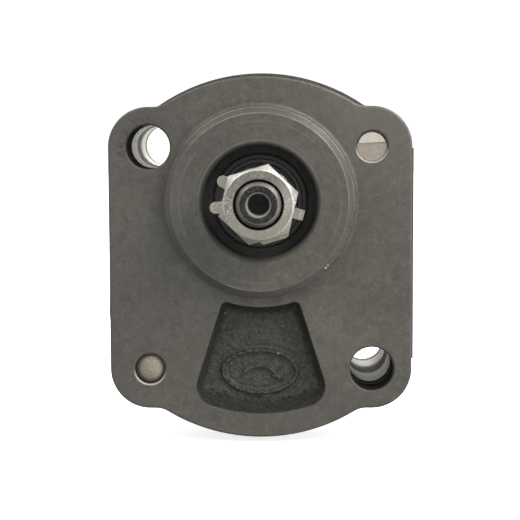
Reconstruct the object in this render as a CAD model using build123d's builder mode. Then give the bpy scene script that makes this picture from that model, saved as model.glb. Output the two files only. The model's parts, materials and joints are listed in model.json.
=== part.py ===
from build123d import *
import os
from math import cos, sin, pi, radians, hypot

os.makedirs("parts", exist_ok=True)

# ---------------------------------------------------------------------------
# Vane pump.  Millimetres, +Z up.  The shaft runs along Y and its driven end
# points to -Y.  The origin is on the shaft axis, in the mounting face.
# ---------------------------------------------------------------------------

# front cover (mounting flange)
FLANGE_CZ = -22.7       # centre of the flange lies below the shaft axis
SQ_HALF = 60.4          # half width of the square part of the flange
SQ_CORNER = 16.0
ARC_R = 72.2            # top and bottom arcs of the flange
JOIN_R = 9.0            # hollow fillet where an arc meets the square
COVER_T = 22.0
PILOT_R = 37.5
PILOT_H = 8.0
PILOT_CHAMFER_R = 2.5
PILOT_CHAMFER_Y = 2.0
FOOT_R = 2.0            # blend radius at the foot of the pilot
RECESS_R = 22.3
LIP_R = 2.3             # rounding of the recess's rim
RECESS_FLOOR = 6.0
SEAL_R = 19.0
SEAL_END = 14.5
POCKET_D = 7.0

# bolt square
HOLE_PITCH = 88.9
HP = HOLE_PITCH / 2
MOUNT_HOLES = [(-HP, FLANGE_CZ + HP), (HP, FLANGE_CZ - HP)]
LONG_BOLT_AT = [(HP, FLANGE_CZ + HP), (-HP, FLANGE_CZ - HP)]
CAP_SCREW_AT = [(0, 44.3), (-51.8, -22.7), (-25, -84), (25, -84)]
DOWEL_AT = [(30, 36), (-38, -45)]
MOUNT_HOLE_R = 8.75
LONG_BOLT_R = 6.0
DOME_Y, DOME_R = 1.0, 11.0
CAP_SCREW_R = 4.0
DOWEL_R = 4.0

# stations along the shaft
Y_PLATE = 22.0          # front cover / bearing plate joint
Y_BODY = 31.0           # bearing plate / pump body joint
Y_REAR = 72.0           # pump body / rear cover joint
Y_BASE = 81.0           # back of the rear cover's flange

# aluminium castings
BODY_HALF = 60.6
BODY_ARC = 74.2
BODY_JOIN_R = 4.5
PAD_X = 62.6            # machined port face
PAD_Z0, PAD_Z1 = -66.2, 20.8

# cartridge
BORE_R = 36.0
CAM_MIN, CAM_MAX = 24.15, 27.0
CAM_Y0, CAM_Y1 = 39.0, 61.0
ROTOR_R = 23.3
VANE_T, VANE_H, VANE_TIP = 1.8, 8.0, 23.6
VANES = 10

# bearing 25 x 52 x 15
BRG_BORE, BRG_OD, BALL_R, PITCH_R, BALLS = 12.5, 26.0, 3.97, 19.5, 9
BRG_Y0 = 16.0           # the bearing sits partly in the front cover, partly in its plate
BRG_MID = BRG_Y0 + 7.5

# flow valve, along X
VALVE_Y, VALVE_Z, VALVE_R = 51.5, -46.0, 8.0
PORT_OUT_R, PORT_OUT_D = 10.2, 16.0
PORT_IN_R, PORT_IN_D, PORT_IN_Z = 15.65, 19.0, -4.0

NUT_ANGLE = 16.5        # a nut corner, measured from +X


def at(y):
    """Plane across the shaft at station y: local x is +X, local y is +Z,
    and an extrusion runs towards -Y."""
    return Plane.XZ.offset(-y)


def face_on(x, y, z):
    """Plane at a point, facing -Y."""
    return Plane(origin=(x, y, z), x_dir=(1, 0, 0), z_dir=(0, -1, 0))


def across(x):
    """Plane normal to X at station x: local x is +Y, local y is +Z."""
    return Plane.YZ.offset(x)


def outline(sk, half, corner, arc, join):
    """Square with rounded corners, with an arc standing out of its top and
    bottom edges."""
    with Locations((0, FLANGE_CZ)):
        Circle(arc)
        Rectangle(2 * half, 2 * arc + 10, mode=Mode.INTERSECT)
        RectangleRounded(2 * half, 2 * half, corner)
    jx = (arc ** 2 - half ** 2) ** 0.5
    joints = [v for v in sk.vertices() if abs(abs(v.X) - jx) < 0.3 and abs(abs(v.Y - FLANGE_CZ) - half) < 0.3]
    fillet(joints, join)


def pad(x0=30.0):
    """The port pad, a plain block on the +X side."""
    with Locations(((x0 + PAD_X) / 2, (PAD_Z0 + PAD_Z1) / 2)):
        Rectangle(PAD_X - x0, PAD_Z1 - PAD_Z0)


def finish_piece(builder, name):
    builder.part.label = name
    export_step(builder.part, f"parts/{name}.step")


# ---------------------------------------------------------------------------
# 1  front cover
# ---------------------------------------------------------------------------
with BuildPart() as front_cover:
    with BuildSketch(at(COVER_T)) as sk:
        outline(sk, SQ_HALF, SQ_CORNER, ARC_R, JOIN_R)
    extrude(amount=COVER_T)
    fillet(front_cover.faces().sort_by(Axis.Y)[0].edges(), 0.9)
    # pilot, blended into the mounting face at its foot
    with BuildSketch(Plane.XY):
        with BuildLine():
            ThreePointArc((PILOT_R + FOOT_R, 0), (PILOT_R + FOOT_R * 0.29289, -FOOT_R * 0.29289), (PILOT_R, -FOOT_R))
            Polyline((PILOT_R, -FOOT_R), (PILOT_R, -PILOT_H + PILOT_CHAMFER_Y),
                     (PILOT_R - PILOT_CHAMFER_R, -PILOT_H), (0, -PILOT_H), (0, 2), (PILOT_R + FOOT_R, 2),
                     (PILOT_R + FOOT_R, 0))
        make_face()
    revolve(axis=Axis.Y)
    # recess, seal bore and shaft clearance
    with BuildSketch(Plane.XY):
        with BuildLine():
            ThreePointArc((RECESS_R + LIP_R, -PILOT_H), (RECESS_R + LIP_R * 0.29289, -PILOT_H + LIP_R * 0.29289),
                          (RECESS_R, -PILOT_H + LIP_R))
            Polyline((0, -PILOT_H - 1), (RECESS_R + LIP_R, -PILOT_H - 1), (RECESS_R + LIP_R, -PILOT_H))
            Polyline((RECESS_R, -PILOT_H + LIP_R),
                     (RECESS_R, RECESS_FLOOR), (SEAL_R + 0.5, RECESS_FLOOR), (SEAL_R + 0.02, RECESS_FLOOR + 0.5),
                     (SEAL_R + 0.02, SEAL_END), (14.2, SEAL_END), (14.2, BRG_Y0 - 0.6), (21.0, BRG_Y0 - 0.6), (21.0, BRG_Y0),
                     (BRG_OD + 0.02, BRG_Y0), (BRG_OD + 0.02, COVER_T + 1), (0, COVER_T + 1), (0, -PILOT_H - 1))
        make_face()
    revolve(axis=Axis.Y, mode=Mode.SUBTRACT)
    # keystone cast pocket under the pilot, with drafted walls
    with BuildSketch(at(0)) as sk:
        Polygon((-13.9, -35), (13.9, -35), (31.4, -90), (-31.4, -90), align=None)
        Circle(42.2, mode=Mode.SUBTRACT)
        with Locations((0, FLANGE_CZ)):
            Circle(62.9, mode=Mode.INTERSECT)
        fillet([v for v in sk.vertices() if v.Y < -60], 8.5)
        fillet([v for v in sk.vertices() if v.Y > -50], 2.6)
    with BuildSketch(at(POCKET_D)) as sk:
        Polygon((-10.6, -35), (10.6, -35), (28.1, -90), (-28.1, -90), align=None)
        Circle(44.2, mode=Mode.SUBTRACT)
        with Locations((0, FLANGE_CZ)):
            Circle(58.6, mode=Mode.INTERSECT)
        fillet([v for v in sk.vertices() if v.Y < -60], 6.4)
        fillet([v for v in sk.vertices() if v.Y > -50], 1.4)
    loft(mode=Mode.SUBTRACT)
    # plain raised oval frame with an arrow in it that shows the direction of rotation
    with BuildSketch(at(POCKET_D + 0.6)) as sk:
        with Locations((-0.4, -68.9)):
            Ellipse(15.9, 9.6)
            Ellipse(13.9, 7.6, mode=Mode.SUBTRACT)
    extrude(amount=1.6)
    ARROW_R, ARROW_A, ARROW_B = 8.6, radians(45), radians(140)
    with BuildSketch(at(POCKET_D + 0.6)) as sk:
        with Locations((-0.4, -75.0)):
            Circle(ARROW_R + 1.0)
            Circle(ARROW_R - 1.0, mode=Mode.SUBTRACT)
            Polygon((0, 0), (30 * cos(ARROW_A), 30 * sin(ARROW_A)), (0, 60), (30 * cos(ARROW_B), 30 * sin(ARROW_B)),
                    align=None, mode=Mode.INTERSECT)
            Polygon((11.2 * cos(ARROW_A), 11.2 * sin(ARROW_A)),
                    (ARROW_R * cos(ARROW_A) + 4.4 * sin(ARROW_A), ARROW_R * sin(ARROW_A) - 4.4 * cos(ARROW_A)),
                    (6.0 * cos(ARROW_A), 6.0 * sin(ARROW_A)), align=None)
    extrude(amount=1.6)
    # through holes for the mounting bolts
    with BuildSketch(at(COVER_T)):
        with Locations(*MOUNT_HOLES):
            Circle(MOUNT_HOLE_R)
        with Locations(*LONG_BOLT_AT):
            Circle(LONG_BOLT_R + 0.05)
    extrude(amount=COVER_T, mode=Mode.SUBTRACT)
    with Locations(*[face_on(x, 0, z) for x, z in MOUNT_HOLES]):
        Cone(MOUNT_HOLE_R, MOUNT_HOLE_R + 0.6, 0.6, align=(Align.CENTER, Align.CENTER, Align.MAX), mode=Mode.SUBTRACT)
    with Locations(*[face_on(x, 0, z) for x, z in LONG_BOLT_AT]):
        Cone(LONG_BOLT_R + 0.05, LONG_BOLT_R + 0.75, 0.7, align=(Align.CENTER, Align.CENTER, Align.MAX), mode=Mode.SUBTRACT)
    # blind tapped holes and dowel holes in the back face
    with BuildSketch(at(COVER_T)):
        with Locations(*CAP_SCREW_AT):
            Circle(CAP_SCREW_R + 0.05)
    extrude(amount=COVER_T - 7.8, mode=Mode.SUBTRACT)
    with BuildSketch(at(COVER_T)):
        with Locations(*DOWEL_AT):
            Circle(DOWEL_R + 0.02)
    extrude(amount=6.5, mode=Mode.SUBTRACT)
finish_piece(front_cover, "front_cover")


def clamp_holes(y1, length):
    """Clearance holes that every aluminium piece shares."""
    with BuildSketch(at(y1)) as holes:
        with Locations(*MOUNT_HOLES):
            Circle(MOUNT_HOLE_R)
        with Locations(*LONG_BOLT_AT):
            Circle(LONG_BOLT_R + 0.4)
        with Locations(*CAP_SCREW_AT):
            Circle(CAP_SCREW_R + 0.35)
    extrude(holes.sketch, amount=length, mode=Mode.SUBTRACT)


def dowel_holes(y1, length):
    with BuildSketch(at(y1)) as holes:
        with Locations(*DOWEL_AT):
            Circle(DOWEL_R + 0.02)
    extrude(holes.sketch, amount=length, mode=Mode.SUBTRACT)


def ring_groove(r0, r1, y0, y1):
    """Annular groove about the shaft axis."""
    with BuildSketch(Plane.XY) as section:
        with Locations(((r0 + r1) / 2, (y0 + y1) / 2)):
            Rectangle(r1 - r0, y1 - y0)
    revolve(section.sketch, axis=Axis.Y, mode=Mode.SUBTRACT)


# ---------------------------------------------------------------------------
# 2  bearing plate
# ---------------------------------------------------------------------------
with BuildPart() as bearing_plate:
    with BuildSketch(at(Y_BODY)) as sk:
        outline(sk, BODY_HALF, SQ_CORNER, BODY_ARC, BODY_JOIN_R)
        pad()
    extrude(amount=Y_BODY - Y_PLATE)
    with BuildSketch(at(Y_BODY)):
        Circle(BRG_OD + 0.02)
    extrude(amount=Y_BODY - Y_PLATE, mode=Mode.SUBTRACT)
    clamp_holes(Y_BODY, Y_BODY - Y_PLATE)
    dowel_holes(Y_BODY, Y_BODY - Y_PLATE)
    ring_groove(29.2, 31.8, Y_PLATE - 1, Y_PLATE + 1.95)
    # oil return groove from the bearing to the seal side
    with BuildSketch(at(Y_BODY)):
        with Locations((0, -27)):
            Rectangle(5, 5)
    extrude(amount=Y_BODY - Y_PLATE, mode=Mode.SUBTRACT)
finish_piece(bearing_plate, "bearing_plate")

# ---------------------------------------------------------------------------
# 3  pump body
# ---------------------------------------------------------------------------
WAIST_Y0, WAIST_Y1 = 37.0, 66.0
with BuildPart() as pump_body:
    with BuildSketch(at(Y_REAR)) as sk:
        outline(sk, BODY_HALF, SQ_CORNER, BODY_ARC, BODY_JOIN_R)
        pad()
    extrude(amount=Y_REAR - Y_BODY)
    # waist between the two joint flanges, with columns round the bolts
    with BuildSketch(at(WAIST_Y1)) as sk:
        with Locations((0, FLANGE_CZ)):
            Rectangle(200, 200)
    extrude(amount=WAIST_Y1 - WAIST_Y0, mode=Mode.SUBTRACT)
    with BuildSketch(at(WAIST_Y1 + 1)) as sk:
        outline(sk, BODY_HALF - 5.6, 12, BODY_ARC - 5.6, 5)
        with Locations(*MOUNT_HOLES, *LONG_BOLT_AT):
            Circle(13.2)
        with Locations(*CAP_SCREW_AT):
            Circle(7.3)
        pad()
    extrude(amount=WAIST_Y1 - WAIST_Y0 + 2)
    # boss round the valve plug on the -X side
    with BuildSketch(across(-61.0)):
        with Locations((VALVE_Y, VALVE_Z)):
            Circle(15.0)
    extrude(amount=20)
    # cartridge bore
    with BuildSketch(at(Y_REAR)):
        Circle(BORE_R)
    extrude(amount=Y_REAR - Y_BODY, mode=Mode.SUBTRACT)
    clamp_holes(Y_REAR, Y_REAR - Y_BODY)
    dowel_holes(Y_REAR, 6.5)
    dowel_holes(Y_BODY + 6.5, 6.5)
    ring_groove(37.2, 39.7, Y_BODY - 1, Y_BODY + 1.95)
    ring_groove(37.2, 39.7, Y_REAR - 1.95, Y_REAR + 1)
    # inlet port: spot face, threaded mouth, cored passage to the cartridge
    with BuildSketch(across(PAD_X)):
        with Locations((VALVE_Y, PORT_IN_Z)):
            Circle(19.0)
    extrude(amount=-0.6, mode=Mode.SUBTRACT)
    with BuildSketch(across(PAD_X)):
        with Locations((VALVE_Y, PORT_IN_Z)):
            Circle(PORT_IN_R)
    extrude(amount=-PORT_IN_D - 0.6, mode=Mode.SUBTRACT)
    with BuildSketch(across(PAD_X - PORT_IN_D)):
        with Locations((VALVE_Y, PORT_IN_Z)):
            Circle(10.5)
    extrude(amount=-16, mode=Mode.SUBTRACT)
    # valve bore right across, with the outlet port and the plug port at its ends
    with BuildSketch(across(PAD_X)):
        with Locations((VALVE_Y, VALVE_Z)):
            Circle(14.0)
    extrude(amount=-0.6, mode=Mode.SUBTRACT)
    with BuildSketch(across(PAD_X)):
        with Locations((VALVE_Y, VALVE_Z)):
            Circle(PORT_OUT_R)
    extrude(amount=-PORT_OUT_D - 0.6, mode=Mode.SUBTRACT)
    with BuildSketch(across(-61.0)):
        with Locations((VALVE_Y, VALVE_Z)):
            Circle(VALVE_R)
    extrude(amount=61.0 + 50, mode=Mode.SUBTRACT)
    with BuildSketch(across(-61.0)):
        with Locations((VALVE_Y, VALVE_Z)):
            Circle(PORT_OUT_R)
    extrude(amount=15, mode=Mode.SUBTRACT)
    # drilled passages between the valve bore and the cartridge bore
    with BuildSketch(Plane.XY.offset(VALVE_Z)):
        with Locations((27, VALVE_Y)):
            Circle(3.5)
        with Locations((-7, VALVE_Y)):
            Circle(3.5)
    extrude(amount=26, mode=Mode.SUBTRACT)
    # edge breaks on the two ports
    mouths = pump_body.edges().filter_by(GeomType.CIRCLE).filter_by(
        lambda e: abs(e.center().X - (PAD_X - 0.6)) < 0.02 and (abs(e.radius - PORT_IN_R) < 0.02 or abs(e.radius - PORT_OUT_R) < 0.02))
    chamfer(mouths, 0.8)
finish_piece(pump_body, "pump_body")

# ---------------------------------------------------------------------------
# 4  rear cover
# ---------------------------------------------------------------------------
with BuildPart() as rear_cover:
    with BuildSketch(at(Y_BASE)) as sk:
        outline(sk, BODY_HALF, SQ_CORNER, BODY_ARC, BODY_JOIN_R)
    extrude(amount=Y_BASE - Y_REAR)
    fillet(rear_cover.faces().sort_by(Axis.Y)[-1].edges(), 1.5)
    # bearing dome and its boss
    with BuildSketch(at(Y_BASE - 1)):
        Circle(31.5)
    extrude(amount=-10, taper=8)
    with BuildSketch(at(Y_BASE + 8)):
        Circle(19.5)
    extrude(amount=-9, taper=4)
    # gallery block below the dome
    with BuildSketch(at(Y_BASE - 1)):
        with Locations((0, -50)):
            RectangleRounded(56, 40, 10)
    extrude(amount=-8.5, taper=6)
    # bolt bosses
    with BuildSketch(at(Y_BASE - 1)):
        with Locations(*LONG_BOLT_AT):
            Circle(13.0)
        with Locations(*MOUNT_HOLES):
            Circle(13.5)
        with Locations(*CAP_SCREW_AT):
            Circle(7.6)
    extrude(amount=-4.0)
    # ribs from the dome to the corner bosses
    with BuildSketch(at(Y_BASE - 1)):
        with Locations(Location((-28, 14.5, 0), (0, 0, 153.0)), Location((28, 14.5, 0), (0, 0, 27.0))):
            Rectangle(24, 5)
        with Locations(Location((-33, -42, 0), (0, 0, 62)), Location((33, -42, 0), (0, 0, -62))):
            Rectangle(40, 5)
    extrude(amount=-5.5, taper=3)
    # spot faces under the bolt heads
    with BuildSketch(at(Y_BASE + 3)):
        with Locations(*LONG_BOLT_AT):
            Circle(12.4)
        with Locations(*MOUNT_HOLES):
            Circle(13.0)
        with Locations(*CAP_SCREW_AT):
            Circle(7.2)
    extrude(amount=-5, mode=Mode.SUBTRACT)
    # holes
    clamp_holes(Y_BASE + 10, Y_BASE + 10 - Y_REAR)
    with BuildSketch(at(Y_REAR)):
        with Locations(*DOWEL_AT):
            Circle(DOWEL_R + 0.02)
    extrude(amount=-6.5, mode=Mode.SUBTRACT)
    # bush bore, spring pocket and cup-plug seat
    with BuildSketch(Plane.XY):
        with BuildLine():
            Polyline((0, Y_REAR - 1), (12.0, Y_REAR - 1), (12.0, Y_REAR + 1), (11.02, Y_REAR + 2), (11.02, 92.0),
                     (14.02, 92.0), (14.02, 97.2), (14.8, 98.5), (0, 98.5), close=True)
        make_face()
    revolve(axis=Axis.Y, mode=Mode.SUBTRACT)
    # gallery plug seats
    with BuildSketch(at(Y_BASE + 10)):
        with Locations((-15, -54), (15, -54)):
            Circle(7.0)
    extrude(amount=13, mode=Mode.SUBTRACT)
    # drilled pressure passage behind the rear port plate
    with BuildSketch(at(Y_REAR)):
        with Locations((-15, -28), (15, -28)):
            Circle(3.0)
    extrude(amount=-6, mode=Mode.SUBTRACT)
finish_piece(rear_cover, "rear_cover")

# ---------------------------------------------------------------------------
# fasteners of the housing
# ---------------------------------------------------------------------------
BOSS_Y = Y_BASE + 3.0
with BuildPart() as bolt_washers:
    with BuildSketch(at(BOSS_Y + 2.5)):
        with Locations(*LONG_BOLT_AT):
            Circle(11.8)
            Circle(LONG_BOLT_R + 0.35, mode=Mode.SUBTRACT)
    extrude(amount=2.5)
    chamfer(bolt_washers.edges().filter_by(GeomType.CIRCLE).filter_by(
        lambda e: e.radius > 11 and e.center().Y > BOSS_Y + 2), 0.5)
finish_piece(bolt_washers, "bolt_washers")

with BuildPart() as long_bolts:
    with BuildSketch(at(BOSS_Y + 2.5 + 7.5)):
        with Locations(*LONG_BOLT_AT):
            RegularPolygon(9.5, 6, major_radius=False, rotation=12)
    extrude(amount=7.5)
    # rounded crown of the hexagon
    with BuildSketch(at(BOSS_Y + 2.5 + 7.5)):
        with Locations(*LONG_BOLT_AT):
            Circle(9.3)
    extrude(amount=-0.6, taper=50)
    with BuildSketch(at(BOSS_Y + 2.5)):
        with Locations(*LONG_BOLT_AT):
            Circle(LONG_BOLT_R)
    extrude(amount=BOSS_Y + 2.5 - 0.9)
    # one end is domed, the other keeps a step across it
    BX, BZ = LONG_BOLT_AT[1]
    with BuildSketch(Plane(origin=(BX, 0, BZ), x_dir=(1, 0, 0), z_dir=(0, 0, 1))):
        with BuildLine():
            ThreePointArc((0, DOME_Y), (3.5, DOME_Y + DOME_R - (DOME_R ** 2 - 3.5 ** 2) ** 0.5),
                          (7, DOME_Y + DOME_R - (DOME_R ** 2 - 49) ** 0.5))
            Polyline((7, DOME_Y + DOME_R - (DOME_R ** 2 - 49) ** 0.5), (7, -2), (0, -2), (0, DOME_Y))
        make_face()
    revolve(axis=Axis((BX, 0, BZ), (0, 1, 0)), mode=Mode.SUBTRACT)
    chamfer(long_bolts.edges().filter_by(GeomType.CIRCLE).filter_by(lambda e: e.center().Y < 2), 0.5)
    with BuildSketch(at(1.4)):
        with Locations(Location((LONG_BOLT_AT[0][0], LONG_BOLT_AT[0][1] - 3.6, 0), (0, 0, 3.0))):
            Rectangle(14, 10)
    extrude(amount=1.5, mode=Mode.SUBTRACT)
finish_piece(long_bolts, "long_bolts")

SCREW_BOSS_Y = Y_BASE + 3.0
with BuildPart() as cap_screws:
    with BuildSketch(at(SCREW_BOSS_Y + 8)):
        with Locations(*CAP_SCREW_AT):
            Circle(6.5)
    extrude(amount=8)
    chamfer(cap_screws.edges().filter_by(GeomType.CIRCLE).filter_by(
        lambda e: e.center().Y > SCREW_BOSS_Y + 7), 0.7)
    with BuildSketch(at(SCREW_BOSS_Y + 8)):
        with Locations(*CAP_SCREW_AT):
            RegularPolygon(3.0, 6, major_radius=False)
    extrude(amount=4.2, mode=Mode.SUBTRACT)
    with BuildSketch(at(SCREW_BOSS_Y)):
        with Locations(*CAP_SCREW_AT):
            Circle(CAP_SCREW_R)
    extrude(amount=SCREW_BOSS_Y - 8.6)
    chamfer(cap_screws.edges().filter_by(GeomType.CIRCLE).filter_by(lambda e: e.center().Y < 9), 0.6)
finish_piece(cap_screws, "cap_screws")

with BuildPart() as housing_dowels:
    with BuildSketch(at(Y_BODY + 6.2)):
        with Locations(*DOWEL_AT):
            Circle(DOWEL_R)
    extrude(amount=Y_BODY + 6.2 - (COVER_T - 6.2))
    with BuildSketch(at(Y_REAR + 6.2)):
        with Locations(*DOWEL_AT):
            Circle(DOWEL_R)
    extrude(amount=12.4)
finish_piece(housing_dowels, "housing_dowels")

# ---------------------------------------------------------------------------
# static seals and plugs
# ---------------------------------------------------------------------------
with BuildPart() as cover_oring:
    with BuildSketch(Plane.XY):
        with Locations((30.5, Y_PLATE + 0.97)):
            Circle(0.95)
    revolve(axis=Axis.Y)
finish_piece(cover_oring, "cover_oring")

with BuildPart() as body_orings:
    with BuildSketch(Plane.XY):
        with Locations((38.45, Y_BODY + 0.97), (38.45, Y_REAR - 0.97)):
            Circle(0.95)
    revolve(axis=Axis.Y)
finish_piece(body_orings, "body_orings")

with BuildPart() as end_plug:
    with BuildSketch(Plane.XY):
        with BuildLine():
            Polyline((0, 92.2), (13.0, 92.2), (14.0, 93.2), (14.0, 96.4), (13.0, 96.4), (13.0, 93.8), (12.4, 93.3), (0, 93.3), close=True)
        make_face()
    revolve(axis=Axis.Y)
finish_piece(end_plug, "end_plug")

GALLERY_TOP = Y_BASE + 7.5
with BuildPart() as gallery_plugs:
    with BuildSketch(at(GALLERY_TOP + 0.2)):
        with Locations((-15, -54), (15, -54)):
            Circle(6.97)
    extrude(amount=8)
    chamfer(gallery_plugs.edges().filter_by(GeomType.CIRCLE).filter_by(
        lambda e: e.center().Y > GALLERY_TOP), 0.6)
    with BuildSketch(at(GALLERY_TOP + 0.2)):
        with Locations((-15, -54), (15, -54)):
            RegularPolygon(3.5, 6, major_radius=False)
    extrude(amount=4.5, mode=Mode.SUBTRACT)
finish_piece(gallery_plugs, "gallery_plugs")

# ---------------------------------------------------------------------------
# shaft seal and its garter spring
# ---------------------------------------------------------------------------
with BuildPart() as shaft_seal:
    with BuildSketch(Plane.XY):
        with BuildLine():
            Polyline((12.56, 9.2), (13.4, 7.4), (14.6, 7.1), (15.4, 8.6), (16.6, 8.6), (17.1, 6.9), (18.6, 6.9), (19.0, 7.3),
                     (19.0, 14.4), (17.9, 14.4), (17.9, 10.0), (15.2, 10.0), (15.2, 12.2), (14.75, 12.2),
                     (14.75, 11.2), (13.6, 11.2), (13.6, 12.6), (13.0, 12.6), close=True)
        make_face()
    revolve(axis=Axis.Y)
finish_piece(shaft_seal, "shaft_seal")

with BuildPart() as seal_spring:
    with BuildSketch(Plane.XY):
        with Locations((14.18, 11.8)):
            Circle(0.5)
    revolve(axis=Axis.Y)
finish_piece(seal_spring, "seal_spring")

# ---------------------------------------------------------------------------
# ball bearing
# ---------------------------------------------------------------------------
RACE_R = BALL_R + 0.08
with BuildPart() as bearing_outer:
    with BuildSketch(Plane.XY):
        with Locations(((21.7 + BRG_OD) / 2, BRG_MID)):
            Rectangle(BRG_OD - 21.7, 14.96)
    revolve(axis=Axis.Y)
    with BuildSketch(Plane.XY):
        with Locations((PITCH_R, BRG_MID)):
            Circle(RACE_R)
    revolve(axis=Axis.Y, mode=Mode.SUBTRACT)
finish_piece(bearing_outer, "bearing_outer")

with BuildPart() as bearing_inner:
    with BuildSketch(Plane.XY):
        with Locations(((BRG_BORE + 0.02 + 17.3) / 2, BRG_MID)):
            Rectangle(17.3 - BRG_BORE - 0.02, 14.96)
    revolve(axis=Axis.Y)
    with BuildSketch(Plane.XY):
        with Locations((PITCH_R, BRG_MID)):
            Circle(RACE_R)
    revolve(axis=Axis.Y, mode=Mode.SUBTRACT)
finish_piece(bearing_inner, "bearing_inner")

with BuildPart() as bearing_balls:
    with Locations(*[(PITCH_R * cos(2 * pi * i / BALLS), BRG_MID, PITCH_R * sin(2 * pi * i / BALLS)) for i in range(BALLS)]):
        Sphere(BALL_R)
finish_piece(bearing_balls, "bearing_balls")

with BuildPart() as bearing_cage:
    with BuildSketch(Plane.XY):
        with Locations((PITCH_R, BRG_MID)):
            Rectangle(1.8, 10.4)
    revolve(axis=Axis.Y)
    with Locations(*[Plane(origin=(PITCH_R * cos(2 * pi * i / BALLS), BRG_MID, PITCH_R * sin(2 * pi * i / BALLS)),
                           x_dir=(0, 1, 0), z_dir=(cos(2 * pi * i / BALLS), 0, sin(2 * pi * i / BALLS))) for i in range(BALLS)]):
        Cylinder(BALL_R + 0.13, 5.0, mode=Mode.SUBTRACT)
finish_piece(bearing_cage, "bearing_cage")

# ---------------------------------------------------------------------------
# drive shaft
# ---------------------------------------------------------------------------
SPLINE_N, SPLINE_OUT, SPLINE_IN = 12, 11.4, 10.2


def spline_points(scale=1.0):
    """Corner points of a straight-sided splined section."""
    pts = []
    for i in range(SPLINE_N):
        a = 360.0 * i / SPLINE_N
        for off, r in ((-9.5, SPLINE_IN), (-6.2, SPLINE_OUT), (6.2, SPLINE_OUT), (9.5, SPLINE_IN)):
            pts.append((scale * r * cos(radians(a + off)), scale * r * sin(radians(a + off))))
    return pts


KEY_ANGLE = 76.5
KEY_DIR = Vector(cos(radians(KEY_ANGLE)), 0, sin(radians(KEY_ANGLE)))
KEY_PLANE = Plane(origin=(0, 0, 0), x_dir=KEY_DIR, z_dir=KEY_DIR.cross(Vector(0, 1, 0)))

with BuildPart() as drive_shaft:
    with BuildSketch(Plane.XY):
        with BuildLine():
            Polyline((0, -28.5), (7.4, -28.5), (9.0, -26.9), (9.0, -13.0), (8.2, -12.4), (8.2, -10.8), (10.2, -10.2),
                     (10.4, -10.0), (12.3, 5.0), (12.5, 5.6), (12.5, 31.3), (11.8, 31.3), (11.8, 32.7), (12.5, 32.7),
                     (12.5, 35.0), (11.0, 36.2), (10.1, 36.2), (10.1, 61.2), (9.3, 61.2), (9.3, 62.5), (9.9, 62.5),
                     (9.9, 63.5), (9.0, 64.4), (9.0, 90.4), (8.2, 91.2), (0, 91.2), close=True)
        make_face()
    revolve(axis=Axis.Y)
    with BuildSketch(at(61.0)):
        Polygon(*spline_points(), align=None)
    extrude(amount=22.5)
    # centre hole in the threaded end
    with BuildSketch(Plane.XY):
        with BuildLine():
            Polyline((0, -29), (5.8, -29), (4.8, -28.0), (4.8, -6.0), (0, -3.4), close=True)
        make_face()
    revolve(axis=Axis.Y, mode=Mode.SUBTRACT)
    # half-moon keyway
    with BuildSketch(KEY_PLANE.offset(-2.53)):
        with Locations((14.6, -2.6)):
            Circle(8.03)
    extrude(amount=5.06, mode=Mode.SUBTRACT)
finish_piece(drive_shaft, "drive_shaft")

with BuildPart() as shaft_key:
    with BuildSketch(KEY_PLANE.offset(-2.5)):
        with Locations((14.6, -2.6)):
            Circle(8.0)
        with Locations((18.6, -2.6)):
            Rectangle(9.4, 20, mode=Mode.SUBTRACT)
    extrude(amount=5.0)
finish_piece(shaft_key, "shaft_key")

# nut: 27 mm across flats, chamfered corners on both faces
NUT_Y0, NUT_Y1 = -27.5, -13.6
with BuildPart() as shaft_nut:
    with BuildSketch(at(NUT_Y1)):
        RegularPolygon(13.7, 6, major_radius=False, rotation=NUT_ANGLE)
    extrude(amount=NUT_Y1 - NUT_Y0)
    with BuildSketch(Plane.XY):
        with BuildLine():
            Polyline((0, NUT_Y0), (12.95, NUT_Y0), (16.4, NUT_Y0 + 2.0), (16.4, NUT_Y1 - 1.2), (14.4, NUT_Y1), (0, NUT_Y1), close=True)
        make_face()
    revolve(axis=Axis.Y, mode=Mode.INTERSECT)
    with BuildSketch(Plane.XY):
        with BuildLine():
            Polyline((0, NUT_Y0 - 0.5), (10.1, NUT_Y0 - 0.5), (9.05, NUT_Y0 + 0.9), (9.05, NUT_Y1 - 0.6), (9.7, NUT_Y1 + 0.1), (0, NUT_Y1 + 0.1), close=True)
        make_face()
    revolve(axis=Axis.Y, mode=Mode.SUBTRACT)
finish_piece(shaft_nut, "shaft_nut")

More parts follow.
